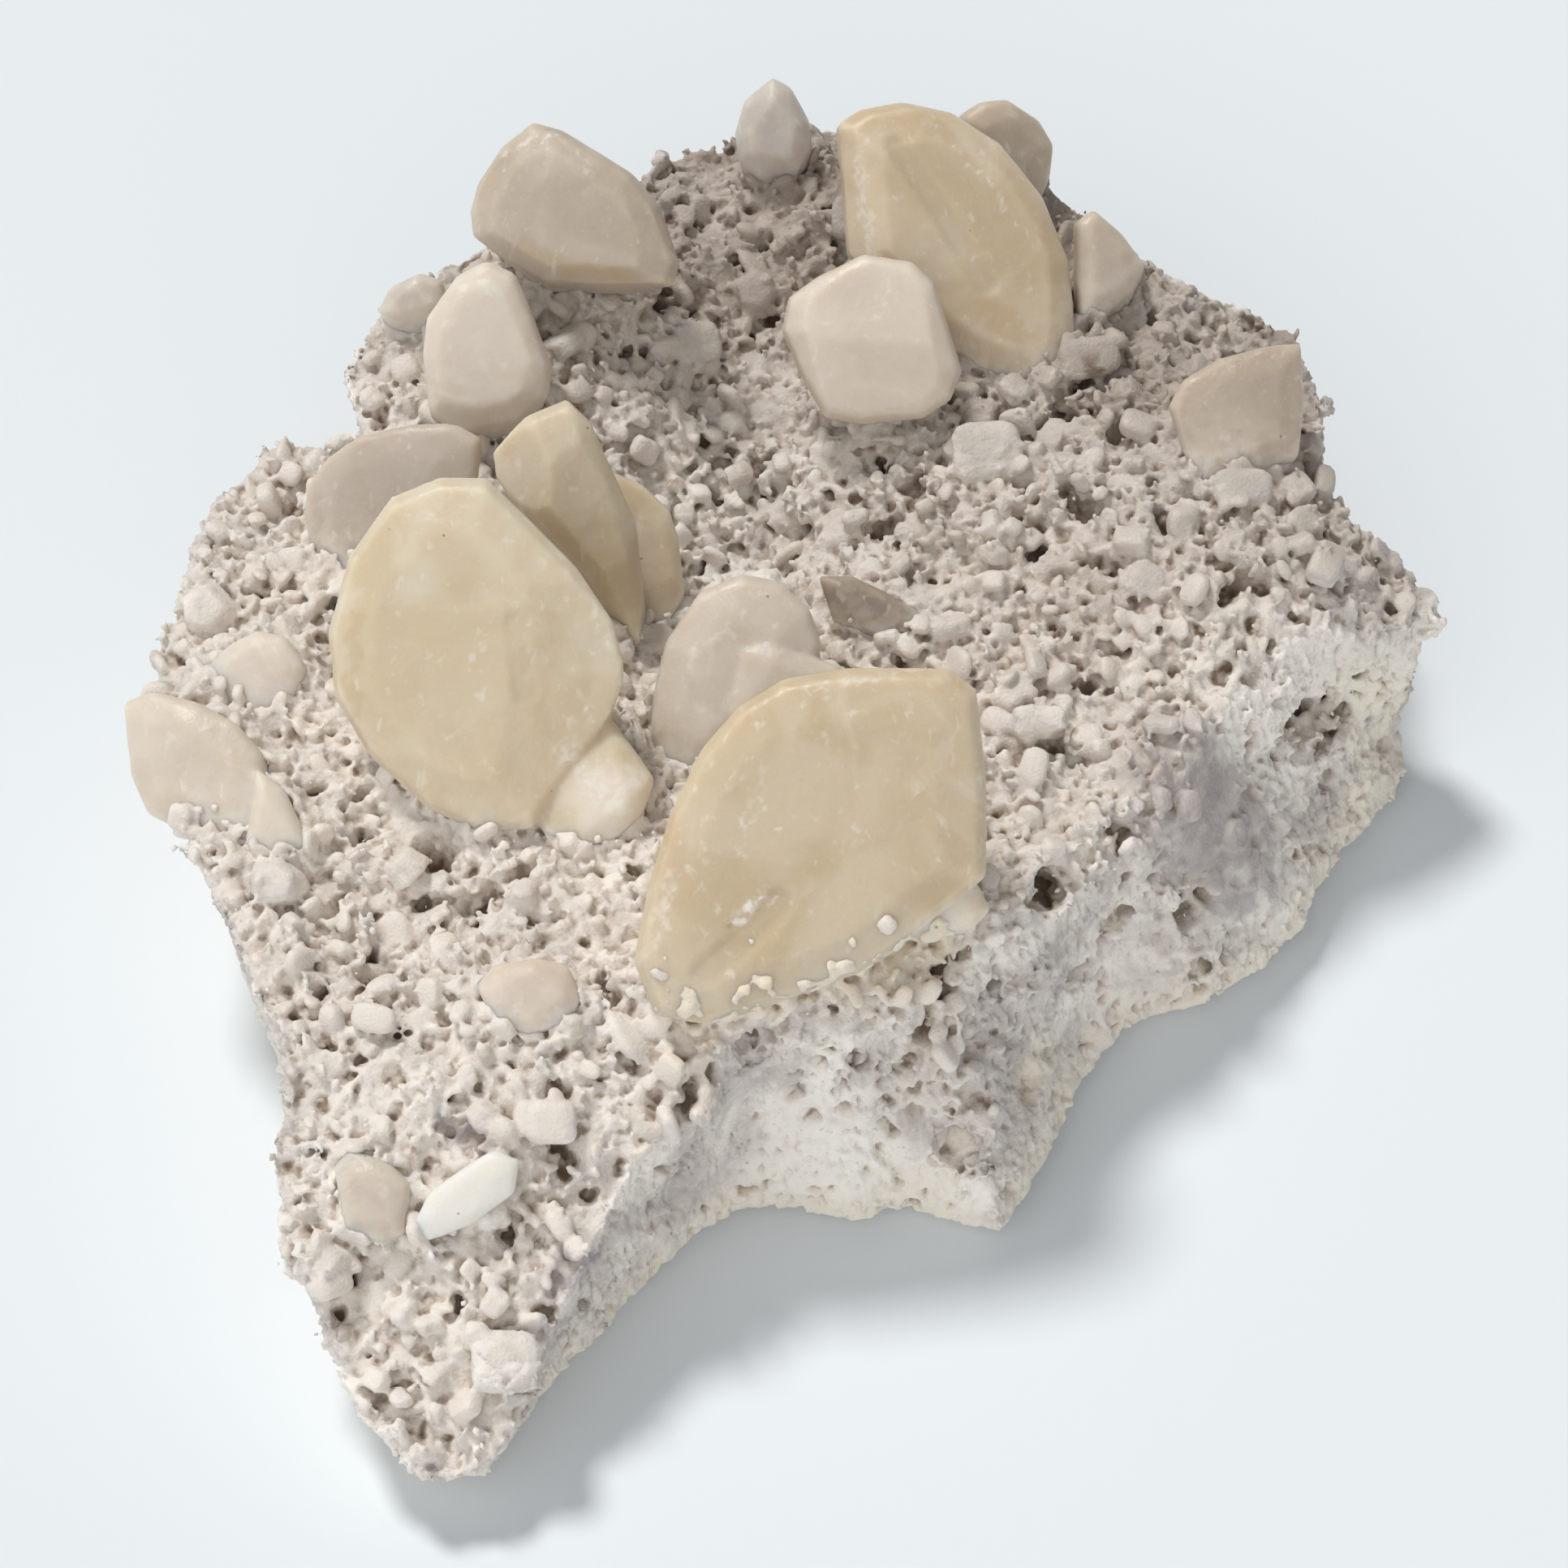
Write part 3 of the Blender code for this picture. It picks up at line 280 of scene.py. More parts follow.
class CalciteRock(bpy.types.PropertyGroup):
    seed: number("Seed", "Order of the knobs and grains", 7)
    broad_face: length("Broad face size", "Width of the rock's faces while its clumps are shaped", 0.7 * MM)
    fine_face: length("Fine face size", "Width of the finished rock's faces", 0.235 * MM)
    clump_size: length("Clump size", "Width of the lumps of the crust", 3.4 * MM)
    clump_depth: length("Clump depth", "How far the lumps of the crust differ in height", 1.6 * MM)
    hole_depth: length("Hole depth", "Depth of the holes between the lumps", 2.6 * MM)
    wall_pit_depth: length("Wall pit depth", "Depth of the small pits in the wall", 1.3 * MM)
    stacks: number("Knob stacks", "Number of knobby growths on the crust", 30000)
    grains: number("Grains", "Number of see-through grains in the crust", 4200)
    creeping: number("Creeping", "Number of knobs on the crystals' feet", 9000)
    sugar: number("Sugar", "Number of small knobs on the wall", 9000)
    crust: colour("Crust", "Colour of the white knobs on top", (0.89, 0.835, 0.775))
    clear: colour("Clear grain", "Colour of the see-through grains", (0.80, 0.735, 0.66))
    wall: colour("Wall", "Lilac grey of the bare wall", (0.60, 0.545, 0.51))
    wall_light: colour("Light wall", "Sugary white of the wall", (0.92, 0.86, 0.79))
    foot: colour("Foot", "Cream of the bottom edge", (0.86, 0.79, 0.69))
    # brown of the holes, also used to darken recesses as painted shade
    hole_brown_and_shade: colour("Crevice", "Brown of the gaps and pits", (0.17, 0.11, 0.065))


class CalciteCrystals(bpy.types.PropertyGroup):
    face_size: length("Face size", "Width of the crystals' faces", 0.36 * MM)
    amber: colour("Amber", "Deeper yellow patches in the crystals", (0.52, 0.36, 0.17))
    veil: colour("Veil", "White flaws of the crystals", (0.92, 0.89, 0.85))
    frost: colour("Frost", "Frosted feet of the crystals", (0.86, 0.79, 0.70))
    ripple: length("Ripple", "Height of the waves on the faces", 0.22 * MM)
    fine_ripple: length("Fine ripple", "Height of the small waves on the faces", 0.06 * MM)
    yellow: colour("Yellow", "Core of the large yellow crystals", (0.70, 0.56, 0.36))
    # the rim colours tint the cloudy patches and are painted on the edges as a highlight
    yellow_rim_and_highlight: colour("Yellow rim", "Thin edges of the yellow crystals", (0.80, 0.69, 0.51))
    pale: colour("Pale", "Core of the pale crystals", (0.76, 0.66, 0.545))
    pale_rim_and_highlight: colour("Pale rim", "Thin edges of the pale crystals", (0.84, 0.76, 0.66))
    beige: colour("Beige", "Core of the beige crystals", (0.60, 0.50, 0.39))
    beige_rim_and_highlight: colour("Beige rim", "Thin edges of the beige crystals", (0.72, 0.63, 0.52))
    grey: colour("Grey", "Core of the grey crystals", (0.56, 0.50, 0.44))
    grey_rim_and_highlight: colour("Grey rim", "Thin edges of the grey crystals", (0.70, 0.65, 0.58))
    white: colour("White", "Bright cleavage plate", (0.90, 0.87, 0.82))


class CalciteStage(bpy.types.PropertyGroup):
    floor: colour("Floor", "Colour of the floor", (0.80, 0.845, 0.87))
    sun: strength("Sun", "Strength of the light from the upper left", 2.1)
    sky: strength("Sky", "Strength of the soft light all round", 0.15)
    front: strength("Front light", "Extra strength of the sky at the front left", 1.05)
    tilt: FloatProperty(
        name="Camera tilt", description="How far the camera looks down", subtype="ANGLE",
        default=math.radians(52),
    )
    distance: length("Camera distance", "From the camera to the middle of the cluster", 435 * MM)
    lens: FloatProperty(name="Lens", description="Focal length", default=100, min=10, unit="CAMERA")


# Working with Blender's objects


def only(piece):
    """Selects one object and nothing else."""
    bpy.ops.object.select_all(action="DESELECT")
    piece.select_set(True)
    bpy.context.view_layer.objects.active = piece


def copy_of_node(node, name):
    """A copy of one CAD node with its loose triangles merged."""
    only(frame["nodes"][node])
    bpy.ops.object.duplicate()
    piece = bpy.context.active_object
    bpy.ops.object.parent_clear(type="CLEAR_KEEP_TRANSFORM")
    piece.name = name
    piece.data.name = name
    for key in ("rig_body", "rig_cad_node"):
        if key in piece:
            del piece[key]
    piece.data.materials.clear()
    if piece.data.has_custom_normals:
        bpy.ops.mesh.customdata_custom_splitnormals_clear()
    bpy.ops.object.mode_set(mode="EDIT")
    bpy.ops.mesh.select_all(action="SELECT")
    bpy.ops.mesh.remove_doubles(threshold=0.01 * MM)
    bpy.ops.mesh.normals_make_consistent(inside=False)
    bpy.ops.object.mode_set(mode="OBJECT")
    return piece


def apply_modifier(piece, kind, **settings):
    """Adds one modifier, sets it and applies it."""
    modifier = piece.modifiers.new(kind.lower(), kind)
    for key, value in settings.items():
        setattr(modifier, key, value)
    only(piece)
    bpy.ops.object.modifier_apply(modifier=modifier.name)


def ripple(piece, size, depth, strength):
    """Moves the surface along its normals by clouds of that size."""
    pattern = bpy.data.textures.new("pattern", "CLOUDS")
    pattern.noise_scale = size
    pattern.noise_depth = depth
    settings = {"texture": pattern, "strength": strength, "mid_level": 0.5, "texture_coords": "LOCAL"}
    apply_modifier(piece, "DISPLACE", **settings)
    bpy.data.textures.remove(pattern)


# Reading and writing meshes as arrays


def points_of(mesh):
    points = np.empty(len(mesh.vertices) * 3, np.float32)
    mesh.vertices.foreach_get("co", points)
    return points.reshape(-1, 3).astype(float)


def normals_of(mesh):
    normals = np.empty(len(mesh.vertices) * 3, np.float32)
    mesh.vertices.foreach_get("normal", normals)
    return normals.reshape(-1, 3).astype(float)


def triangles_of(mesh):
    mesh.calc_loop_triangles()
    triangles = np.empty(len(mesh.loop_triangles) * 3, np.int32)
    mesh.loop_triangles.foreach_get("vertices", triangles)
    return triangles.reshape(-1, 3)


def neighbours_mean(mesh, values, rounds):
    """Evens a value out along the edges, more with every round."""
    pairs = np.empty(len(mesh.edges) * 2, np.int32)
    mesh.edges.foreach_get("vertices", pairs)
    pairs = pairs.reshape(-1, 2)
    count = len(values)
    ties = np.maximum(np.bincount(pairs.ravel(), minlength=count), 1)
    result = values.copy()
    for _ in range(rounds):
        for axis in range(values.shape[1]):
            column = result[:, axis]
            total = np.bincount(pairs[:, 0], weights=column[pairs[:, 1]], minlength=count)
            total += np.bincount(pairs[:, 1], weights=column[pairs[:, 0]], minlength=count)
            result[:, axis] = 0.5 * column + 0.5 * total / ties
    return result


def hollowness(mesh, rounds):
    """How far each point lies below the evened surface, in metres."""
    points = points_of(mesh)
    even = neighbours_mean(mesh, points, rounds)
    return np.sum((even - points) * normals_of(mesh), axis=1)


def smooth_step(values, low, high):
    t = np.clip((values - low) / (high - low), 0.0, 1.0)
    return t * t * (3 - 2 * t)


def set_attribute(mesh, name, values):
    attribute = mesh.attributes.new(name, "FLOAT", "POINT")
    attribute.data.foreach_set("value", np.asarray(values, np.float32))


def set_colours(mesh, name, values):
    attribute = mesh.attributes.new(name, "FLOAT_COLOR", "POINT")
    attribute.data.foreach_set("color", np.asarray(values, np.float32).ravel())


def mesh_piece(name, points, triangles):
    """A smooth shaded object from arrays of points and triangles."""
    mesh = bpy.data.meshes.new(name)
    mesh.vertices.add(len(points))
    mesh.vertices.foreach_set("co", np.asarray(points, np.float32).ravel())
    if len(triangles):
        mesh.loops.add(len(triangles) * 3)
        mesh.loops.foreach_set("vertex_index", np.asarray(triangles, np.int32).ravel())
        mesh.polygons.add(len(triangles))
        mesh.polygons.foreach_set("loop_start", np.arange(0, len(triangles) * 3, 3, dtype=np.int32))
    mesh.update(calc_edges=True)
    mesh.shade_smooth()
    piece = bpy.data.objects.new(name, mesh)
    bpy.context.scene.collection.objects.link(piece)
    return piece


def finish_piece(piece, material, nodes=()):
    """Gives a finished piece its material and its place in the frame, and hides the nodes that it stands for.
    """
    piece.data.materials.clear()
    piece.data.materials.append(material)
    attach(piece, "root")
    if nodes:
        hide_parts(*nodes)
    SHOWN[piece.name] = piece


# Node materials


class Paint:
    """A node tree that is built up one node at a time."""

    def __init__(self, name):
        self.material = bpy.data.materials.new(name)
        self.material.use_nodes = True
        self.tree = self.material.node_tree
        self.shader = self.tree.nodes["Principled BSDF"]
        self.place = self.node("ShaderNodeTexCoord").outputs["Object"]

    def node(self, kind, settings=None, **inputs):
        made = self.tree.nodes.new(kind)
        for key, value in (settings or {}).items():
            setattr(made, key, value)
        for key, value in inputs.items():
            self.feed(made.inputs[key.replace("_", " ")], value)
        return made

    def feed(self, socket, value):
        if isinstance(value, bpy.types.NodeSocket):
            self.tree.links.new(value, socket)
        elif socket.type == "RGBA":
            socket.default_value = (*value[:3], 1.0)
        else:
            socket.default_value = value

    def attribute(self, name):
        return self.node("ShaderNodeAttribute", {"attribute_name": name}).outputs["Fac"]

    def noise(self, size, detail=3.0, distortion=0.0, stretch=None):
        """Cloudy values; the size is that of its features in millimetres."""
        place = self.place
        if stretch:
            place = self.node("ShaderNodeMapping", Vector=place, Scale=stretch).outputs["Vector"]
        made = self.node(
            "ShaderNodeTexNoise", Vector=place, Scale=1000.0 / size, Detail=detail, Distortion=distortion
        )
        return made.outputs["Fac"]

    def cells(self, size):
        made = self.node("ShaderNodeTexVoronoi", Vector=self.place, Scale=1000.0 / size)
        return made.outputs["Distance"], made.outputs["Color"]

    def spread(self, value, low, high, to_low=0.0, to_high=1.0):
        made = self.node("ShaderNodeMapRange", {"interpolation_type": "SMOOTHSTEP"})
        self.feed(made.inputs["Value"], value)
        for key, number in (("From Min", low), ("From Max", high), ("To Min", to_low), ("To Max", to_high)):
            self.feed(made.inputs[key], number)
        return made.outputs["Result"]

    def math(self, operation, a, b=0.0):
        made = self.node("ShaderNodeMath", {"operation": operation})
        self.feed(made.inputs[0], a)
        self.feed(made.inputs[1], b)
        return made.outputs[0]

    def mix(self, factor, a, b, kind="MIX"):
        made = self.node("ShaderNodeMix", {"data_type": "RGBA", "blend_type": kind})
        self.feed(made.inputs[0], factor)
        self.feed(made.inputs[6], a)
        self.feed(made.inputs[7], b)
        return made.outputs[2]

    def axis(self, name):
        return self.node("ShaderNodeSeparateXYZ", Vector=self.place).outputs[name]

    def bump(self, height, strength, depth, under=None):
        made = self.node("ShaderNodeBump", Height=height, Strength=strength, Distance=depth)
        if under is not None:
            self.feed(made.inputs["Normal"], under)
        return made.outputs["Normal"]

    def finish(self, **inputs):
        for key, value in inputs.items():
            self.feed(self.shader.inputs[key.replace("_", " ")], value)
        return self.material


def painted_falloff_shade(paint):
    """Painted shade in place of a lamp's falloff: darker towards the back and the right of the crust, light
    at the front left.
    """
    across = paint.math("MULTIPLY", paint.axis("X"), 4.0)
    along = paint.math("MULTIPLY", paint.axis("Y"), 10.5)
    drift = paint.math("ADD", across, along)
    patchy = paint.math("ADD", drift, paint.math("MULTIPLY", paint.noise(16, 3), 0.5))
    return paint.spread(patchy, 0.2, 1.05)


def rock_material(look):
    """Crusted host rock: white knobs, clear grains, lilac grey sugary wall, cream foot and brown gaps
    darkened further as painted shade in recesses, with painted shade towards the back and the right.
    """
    paint = Paint("host_rock")
    top = paint.attribute("top")
    hollow = paint.attribute("hollow")
    clear = paint.attribute("clear")
    dull = tuple(0.84 * c for c in look.crust)
    crust = paint.mix(paint.spread(paint.noise(4, 4), 0.35, 0.65), look.crust, dull)
    crust = paint.mix(paint.spread(paint.noise(0.7, 3), 0.5, 0.8, 0.0, 0.35), crust, DUSTY)
    crust = paint.mix(paint.math("MULTIPLY", clear, 0.85), crust, look.clear)
    wall = paint.mix(paint.spread(paint.noise(14, 5, 0.6), 0.42, 0.6), look.wall, look.wall_light)
    speckle = paint.spread(paint.noise(1.3, 5), 0.5, 0.72)
    wall = paint.mix(paint.math("MULTIPLY", speckle, 0.45), wall, look.wall_light)
    specks = paint.spread(paint.noise(0.75, 4), 0.62, 0.74, 0.0, 0.5)
    wall = paint.mix(specks, wall, WALL_SPECK)
    low = paint.math("ADD", paint.axis("Z"), paint.math("MULTIPLY", paint.noise(9, 4), 0.012))
    wall = paint.mix(paint.spread(low, 0.0165, 0.0085), wall, look.foot)
    base = paint.mix(top, wall, crust)
    # stains together with the patches of painted light and shade, broken up by noise
    stain_and_light = paint.node("ShaderNodeAttribute", {"attribute_name": "stain_and_light"}).outputs
    patchy = paint.spread(paint.noise(2.6, 5), 0.36, 0.56, 0.3, 1.0)
    patchy = paint.math("MULTIPLY", stain_and_light["Alpha"], patchy)
    base = paint.mix(patchy, base, stain_and_light["Color"])
    # brown of the holes, darkened further as painted shade in recesses and round the knobs' feet
    patchy_brown_and_shade = paint.spread(paint.noise(2.2, 4), 0.3, 0.6, 0.65, 1.0)
    dark = paint.math("MULTIPLY", hollow, patchy_brown_and_shade)
    dark = paint.math("MULTIPLY", dark, paint.spread(top, 0.0, 0.6, 0.6, 0.85))
    base = paint.mix(paint.spread(dark, 0.0, 0.45, 0.0, 0.75), base, GAP_RIM_BROWN_AND_SHADE)
    base = paint.mix(paint.spread(dark, 0.4, 1.0), base, look.hole_brown_and_shade)
    # painted shade: the crust's colour is darkened towards the back and the right, less on the wall
    shade = paint.math("MULTIPLY", painted_falloff_shade(paint), paint.spread(top, 0.0, 1.0, 0.25, 0.9))
    base = paint.mix(shade, base, PAINTED_BACK_SHADE, "MULTIPLY")
    knobby, _ = paint.cells(0.7)
    rough = paint.bump(knobby, -0.6, 0.0004)
    rough = paint.bump(paint.noise(0.35, 3), 0.5, 0.0003, rough)
    gloss = paint.spread(clear, 0.2, 0.8, 0.9, 0.42)
    return paint.finish(
        Base_Color=base, Roughness=gloss, Specular_IOR_Level=0.3, Subsurface_Weight=0.3,
        Subsurface_Radius=(1.0, 0.8, 0.6), Subsurface_Scale=0.0009, Normal=rough,
    )


def crystal_material(name, look, core, rim, milk):
    """Frosted milky calcite with cloudy depth, white veils, edges painted pale as a highlight and a few dark
    specks.
    """
    paint = Paint(name)
    amber = tuple(0.5 * (a + c) for a, c in zip(look.amber, core))
    cloud = paint.spread(paint.noise(11, 3, 0.8), 0.36, 0.66)
    base = paint.mix(paint.math("MULTIPLY", cloud, 0.75), core, rim)
    base = paint.mix(paint.attribute("amber"), base, amber)
    base = paint.mix(paint.attribute("pale"), base, look.pale_rim_and_highlight)
    wisps = paint.spread(paint.noise(6, 5, 1.2, (1.0, 1.0, 0.45)), 0.58, 0.8, 0.0, milk)
    base = paint.mix(wisps, base, look.veil)
    streaks = paint.spread(paint.noise(1.4, 3, 0.4, (1.0, 1.0, 0.12)), 0.6, 0.76, 0.0, 0.32)
    base = paint.mix(streaks, base, look.veil)
    grain = paint.spread(paint.noise(0.5, 4), 0.55, 0.8, 0.0, 0.12)
    base = paint.mix(grain, base, look.veil)
    # painted highlight: bulging edges are lightened towards the rim colour, as light through thin edges
    base = paint.mix(paint.spread(paint.attribute("edge"), 0.15, 0.9, 0.0, 0.75), base, rim)
    frosted = paint.spread(paint.noise(1.6, 4), 0.35, 0.6, 0.25, 0.7)
    foot = paint.math("MULTIPLY", paint.attribute("foot"), frosted)
    base = paint.mix(foot, base, look.frost)
    broken = paint.spread(paint.noise(0.9, 4, 0.5), 0.38, 0.62, 0.15, 0.85)
    base = paint.mix(paint.math("MULTIPLY", paint.attribute("veil"), broken), base, look.veil)
    distance, chance = paint.cells(2.6)
    dot = paint.spread(distance, 0.065, 0.04)
    rare = paint.node("ShaderNodeSeparateColor", Color=chance).outputs["Red"]
    dot = paint.math("MULTIPLY", dot, paint.spread(rare, 0.86, 0.9))
    dot = paint.math("ADD", paint.math("MULTIPLY", dot, 0.6), paint.attribute("speck"))
    base = paint.mix(dot, base, DARK_SPECK)
    lines = paint.noise(0.9, 2, 0.3, (1.0, 1.0, 0.16))
    skin = paint.bump(lines, 0.16, 0.0004)
    skin = paint.bump(paint.noise(2.6, 4, 0.5), 0.2, 0.0008, skin)
    skin = paint.bump(paint.noise(0.4, 4), 0.2, 0.00025, skin)
    gloss = paint.spread(paint.noise(4, 3), 0.35, 0.65, 0.36, 0.52)
    return paint.finish(
        Base_Color=base, Roughness=gloss, IOR=1.5, Specular_IOR_Level=0.4, Subsurface_Weight=0.8,
        Subsurface_Radius=(1.0, 0.72, 0.42), Subsurface_Scale=0.0035, Normal=skin,
    )


# The pieces


def cell_pattern(points, size, seed):
    """Distance to the nearest cell's middle in cell widths, and three random numbers of that cell."""
    table = np.random.default_rng(seed).random((CELL_REPEAT, CELL_REPEAT, CELL_REPEAT, 6))
    scaled = points / size
    wavy = 0.22 * np.sin(scaled[:, [1, 2, 0]] * 4.1 + seed)
    scaled = scaled + wavy + 0.1 * np.sin(scaled[:, [2, 0, 1]] * 9.7)
    home = np.floor(scaled).astype(int)
    nearest = np.full(len(points), 9.0)
    own = np.zeros((len(points), 3))
    for step in np.ndindex(3, 3, 3):
        cell = home + step - 1
        drawn = table[tuple((cell % CELL_REPEAT).T)]
        distance = np.linalg.norm(scaled - cell - drawn[:, :3], axis=1)
        closer = distance < nearest
        nearest[closer] = distance[closer]
        own[closer] = drawn[closer, 3:]
    return nearest, own


def push_out(mesh, heights):
    """Moves each point along its normal."""
    points = points_of(mesh) + normals_of(mesh) * heights[:, None]
    mesh.vertices.foreach_set("co", points.astype(np.float32).ravel())
    mesh.update()


def zones(mesh, rounds):
    """Share of crust at each point, from the slope of the surface, and how free it is of the ground."""
    slope = neighbours_mean(mesh, normals_of(mesh), rounds)
    slope /= np.linalg.norm(slope, axis=1)[:, None]
    free = smooth_step(points_of(mesh)[:, 2], 0.6 * MM, 3.0 * MM)
    return smooth_step(slope[:, 2], 0.1, 0.8), free


def crystal_points():
    """The points of all large crystals."""
    return np.vstack([points_of(piece.data) for name, piece in SHOWN.items() if name.endswith("_frosted")])


def knob_stacks(ground, near, look, chance):
    """Places and radii of crooked stacks of knobs, higher in the middle of each clump."""
    free = smooth_step(ground.points[:, 2], 1.5 * MM, 5 * MM)
    open_share = 1 - 0.8 * ground.hollow
    places, normals = ground.draw(look.stacks, ground.top * (1 + 1.5 * near) * free * open_share, chance)
    middle, own = cell_pattern(places, look.clump_size, CLUMP_ORDER)
    tall = smooth_step(middle, 0.75, 0.3) * (0.4 + 0.6 * own[:, 0])
    width = chance.uniform(0.42, 0.9, look.stacks) * (0.75 + 0.45 * own[:, 1])
    lean = frames_along(normals + (0, 0, 0.5), chance, 0.55)[:, :, 2]
    at, radii = [], []
    for level in range(3):
        chosen = chance.random(look.stacks) * 0.8 + 0.32 * level < 0.3 + 0.8 * tall
        rise = width * (0.1 + 0.7 * level) * MM
        shift = chance.normal(0, 0.2 * MM, (look.stacks, 3))
        size = width * (0.54 - 0.03 * level) * chance.uniform(0.75, 1.3, look.stacks) * MM
        at.append((places + lean * rise[:, None] + shift)[chosen])
        radii.append(size[chosen])
    return np.vstack(at), np.concatenate(radii)


def wall_knobs(ground, look, chance):
    """Places and radii of the small knobs that lie in patches on the wall."""
    free = smooth_step(ground.points[:, 2], 1.5 * MM, 5 * MM)
    bare = np.maximum(patches(ground.points, *SUGAR_PATCHES), along_path(ground.points, *SMOOTH_WALL))
    places, _ = ground.draw(look.sugar, (1 - ground.top) * free * (1.03 - bare), chance)
    return places, chance.uniform(0.25, 0.6, look.sugar) * MM


def crystal_feet(ground):
    """The surface of all large crystals with its share near the rock; the feet are marked as frosted."""
    crystals = [piece for name, piece in SHOWN.items() if name.endswith("_frosted")]
    feet = Ground(crystals)
    crusted = ground.top > 0.5
    which, distance = nearest_of(feet.points, ground.points[crusted])
    above = np.sum((feet.points - ground.points[crusted][which]) * ground.normals[crusted][which], axis=1)
    start = 0
    for piece in crystals:
        own = distance[start:start + len(piece.data.vertices)]
        share = 0.4 * smooth_step(own, 9 * MM, 1 * MM) + 0.6 * smooth_step(own, 3.2 * MM, 0.6 * MM)
        set_attribute(piece.data, "foot", share)
        start += len(own)
    outside = smooth_step(above, -0.3 * MM, 0.3 * MM)
    feet.close = outside * smooth_step(distance, 2.6 * MM, 0.3 * MM) ** 2
    climbing = along_path(feet.points, *CLIMBING_EDGE) * smooth_step(distance, 10 * MM, 1 * MM)
    broken = 0.15 + patches(feet.points, *CLIMBING_PATCHES) ** 2
    feet.close += 1.8 * climbing * broken * smooth_step(above, -0.6 * MM, 0.2 * MM)
    return feet


def climbing_grains(feet, look, chance):
    """Flat grains that grow on the feet of the large crystals."""
    count = look.creeping // 3
    places, normals = feet.draw(count, feet.close, chance)
    climbing = along_path(places, *CLIMBING_EDGE)
    widths = (0.5 + 1.1 * chance.random(count) ** 2) * (1 - 0.3 * climbing) * MM
    sunk = (0.3 + 0.35 * climbing) * MM
    return places - normals * sunk[:, None], normals + (0, 0, 0.6), widths


def knob_mesh(ground, feet, near, look, chance):
    """Points and triangles of all knobs: on the crust, on the wall and on the crystals' feet."""
    creeping, outward = feet.draw(look.creeping, feet.close, chance)
    creeping = creeping - outward * (0.3 * MM * along_path(creeping, *CLIMBING_EDGE))[:, None]
    sources = [
        knob_stacks(ground, near, look, chance),
        wall_knobs(ground, look, chance),
        (creeping, (0.18 + 0.5 * chance.random(look.creeping) ** 2) * MM),
    ]
    at = np.vstack([places for places, _ in sources])
    radii = np.concatenate([sizes for _, sizes in sources])
    knobs = [modelled_shape("lump", seed, detail=1) for seed in KNOB_SHAPES]
    frames = frames_along(chance.normal(0, 1, at.shape), chance, 0.1)
    sizes = radii[:, None] * chance.uniform(0.85, 1.2, at.shape)
    return copies(knobs, chance.integers(0, len(knobs), len(at)), frames, sizes, at)


def grain_mesh(ground, feet, near, look, chance):
    """Points and triangles of the see-through grains, and their places and half widths."""
    patch = patches(ground.points, *GRAIN_PATCHES)
    free = smooth_step(ground.points[:, 2], 2 * MM, 5 * MM)
    level = smooth_step(ground.normals[:, 2], 0.2, 0.6)
    weights = ground.top * level * (0.3 + patch) * free * (1 - 0.7 * near) * (1 - ground.hollow)
    places, normals = ground.draw(look.grains, weights, chance)
    widths = (0.6 + 1.7 * chance.random(look.grains) ** 2) * MM
    kept = keep_apart(places, widths, 0.75)
    blocks = [
        modelled_shape("block", seed, bevel=bevel, rounds=2, proportions=form)
        for seed, bevel, form in GRAIN_SHAPES
    ]
    foot_places, foot_normals, foot_widths = climbing_grains(feet, look, chance)
    places = np.vstack([places[kept], foot_places])
    normals = np.vstack([normals[kept], foot_normals])
    widths = np.concatenate([widths[kept], foot_widths])
    frames = frames_along(normals, chance, 0.6)
    sizes = widths[:, None] * chance.uniform(0.85, 1.15, (len(widths), 3))
    picks = chance.integers(0, len(blocks), len(widths))
    centres = places + frames[:, :, 2] * widths[:, None] * 0.25 + normals * 0.4 * MM
    return *copies(blocks, picks, frames, sizes, centres), centres, widths


def grown_mesh(ground, near, look):
    """All knobs and grains of the rock in one mesh, and the places and half widths of the grains."""
    chance = np.random.default_rng(look.seed)
    feet = crystal_feet(ground)
    knob_points, knob_triangles = knob_mesh(ground, feet, near, look, chance)
    grain_points, grain_triangles, centres, widths = grain_mesh(ground, feet, near, look, chance)
    crystal_points, crystal_triangles, table = crust_crystals(chance)
    base = len(knob_points)
    triangles = [knob_triangles, grain_triangles + base, crystal_triangles + base + len(grain_points)]
    mesh = mesh_piece("grown", np.vstack([knob_points, grain_points, crystal_points]), np.vstack(triangles))
    return mesh, np.vstack([centres, table[:, :3] * MM]), np.concatenate([widths, table[:, 3] * MM])


def crust_crystals(chance):
    """The small crystals of the table, each facing its own way."""
    shapes = [
        modelled_shape("prism", 3, sides=5, bevel=0.2, rounds=2, proportions=(1.1, 1, 1)),
        modelled_shape("prism", 8, sides=6, bevel=0.24, rounds=2, proportions=(1, 0.85, 1)),
        modelled_shape("block", 12, bevel=0.4, rounds=2, proportions=(1.15, 1.0, 0.8)),
        modelled_shape("block", 14, bevel=0.45, rounds=2, proportions=(1.2, 0.8, 0.8)),
    ]
    table = np.array(CRUST_CRYSTALS, float)
    frames = np.array([facing_frame(turn, lean) for turn, lean in table[:, 4:6]])
    half = table[:, 3]
    sizes = np.stack([half, half, np.clip(half * 0.75, 1.3, 1.8)], axis=1) * MM * 1.12
    picks = chance.integers(0, len(shapes), len(table))
    return *copies(shapes, picks, frames, sizes, table[:, :3] * MM), table


def crust_share(points, slope_share, near):
    """Where the rock is crusted: on upper slopes, above a wavy line on the wall and round the crystals."""
    least = CRUST_FROM + CRUST_FROM_VARIES * patches(points, *EDGE_PATCHES)
    least -= ARM_FALL * np.clip(ARM_FROM - points[:, 1], 0, None)
    top = smooth_step(slope_share + 0.9 * patches(points, *CRUST_PATCHES) - 0.45, 0.25, 0.75)
    return np.maximum(top * smooth_step(points[:, 2], least - 1.5 * MM, least + 1.5 * MM), near)


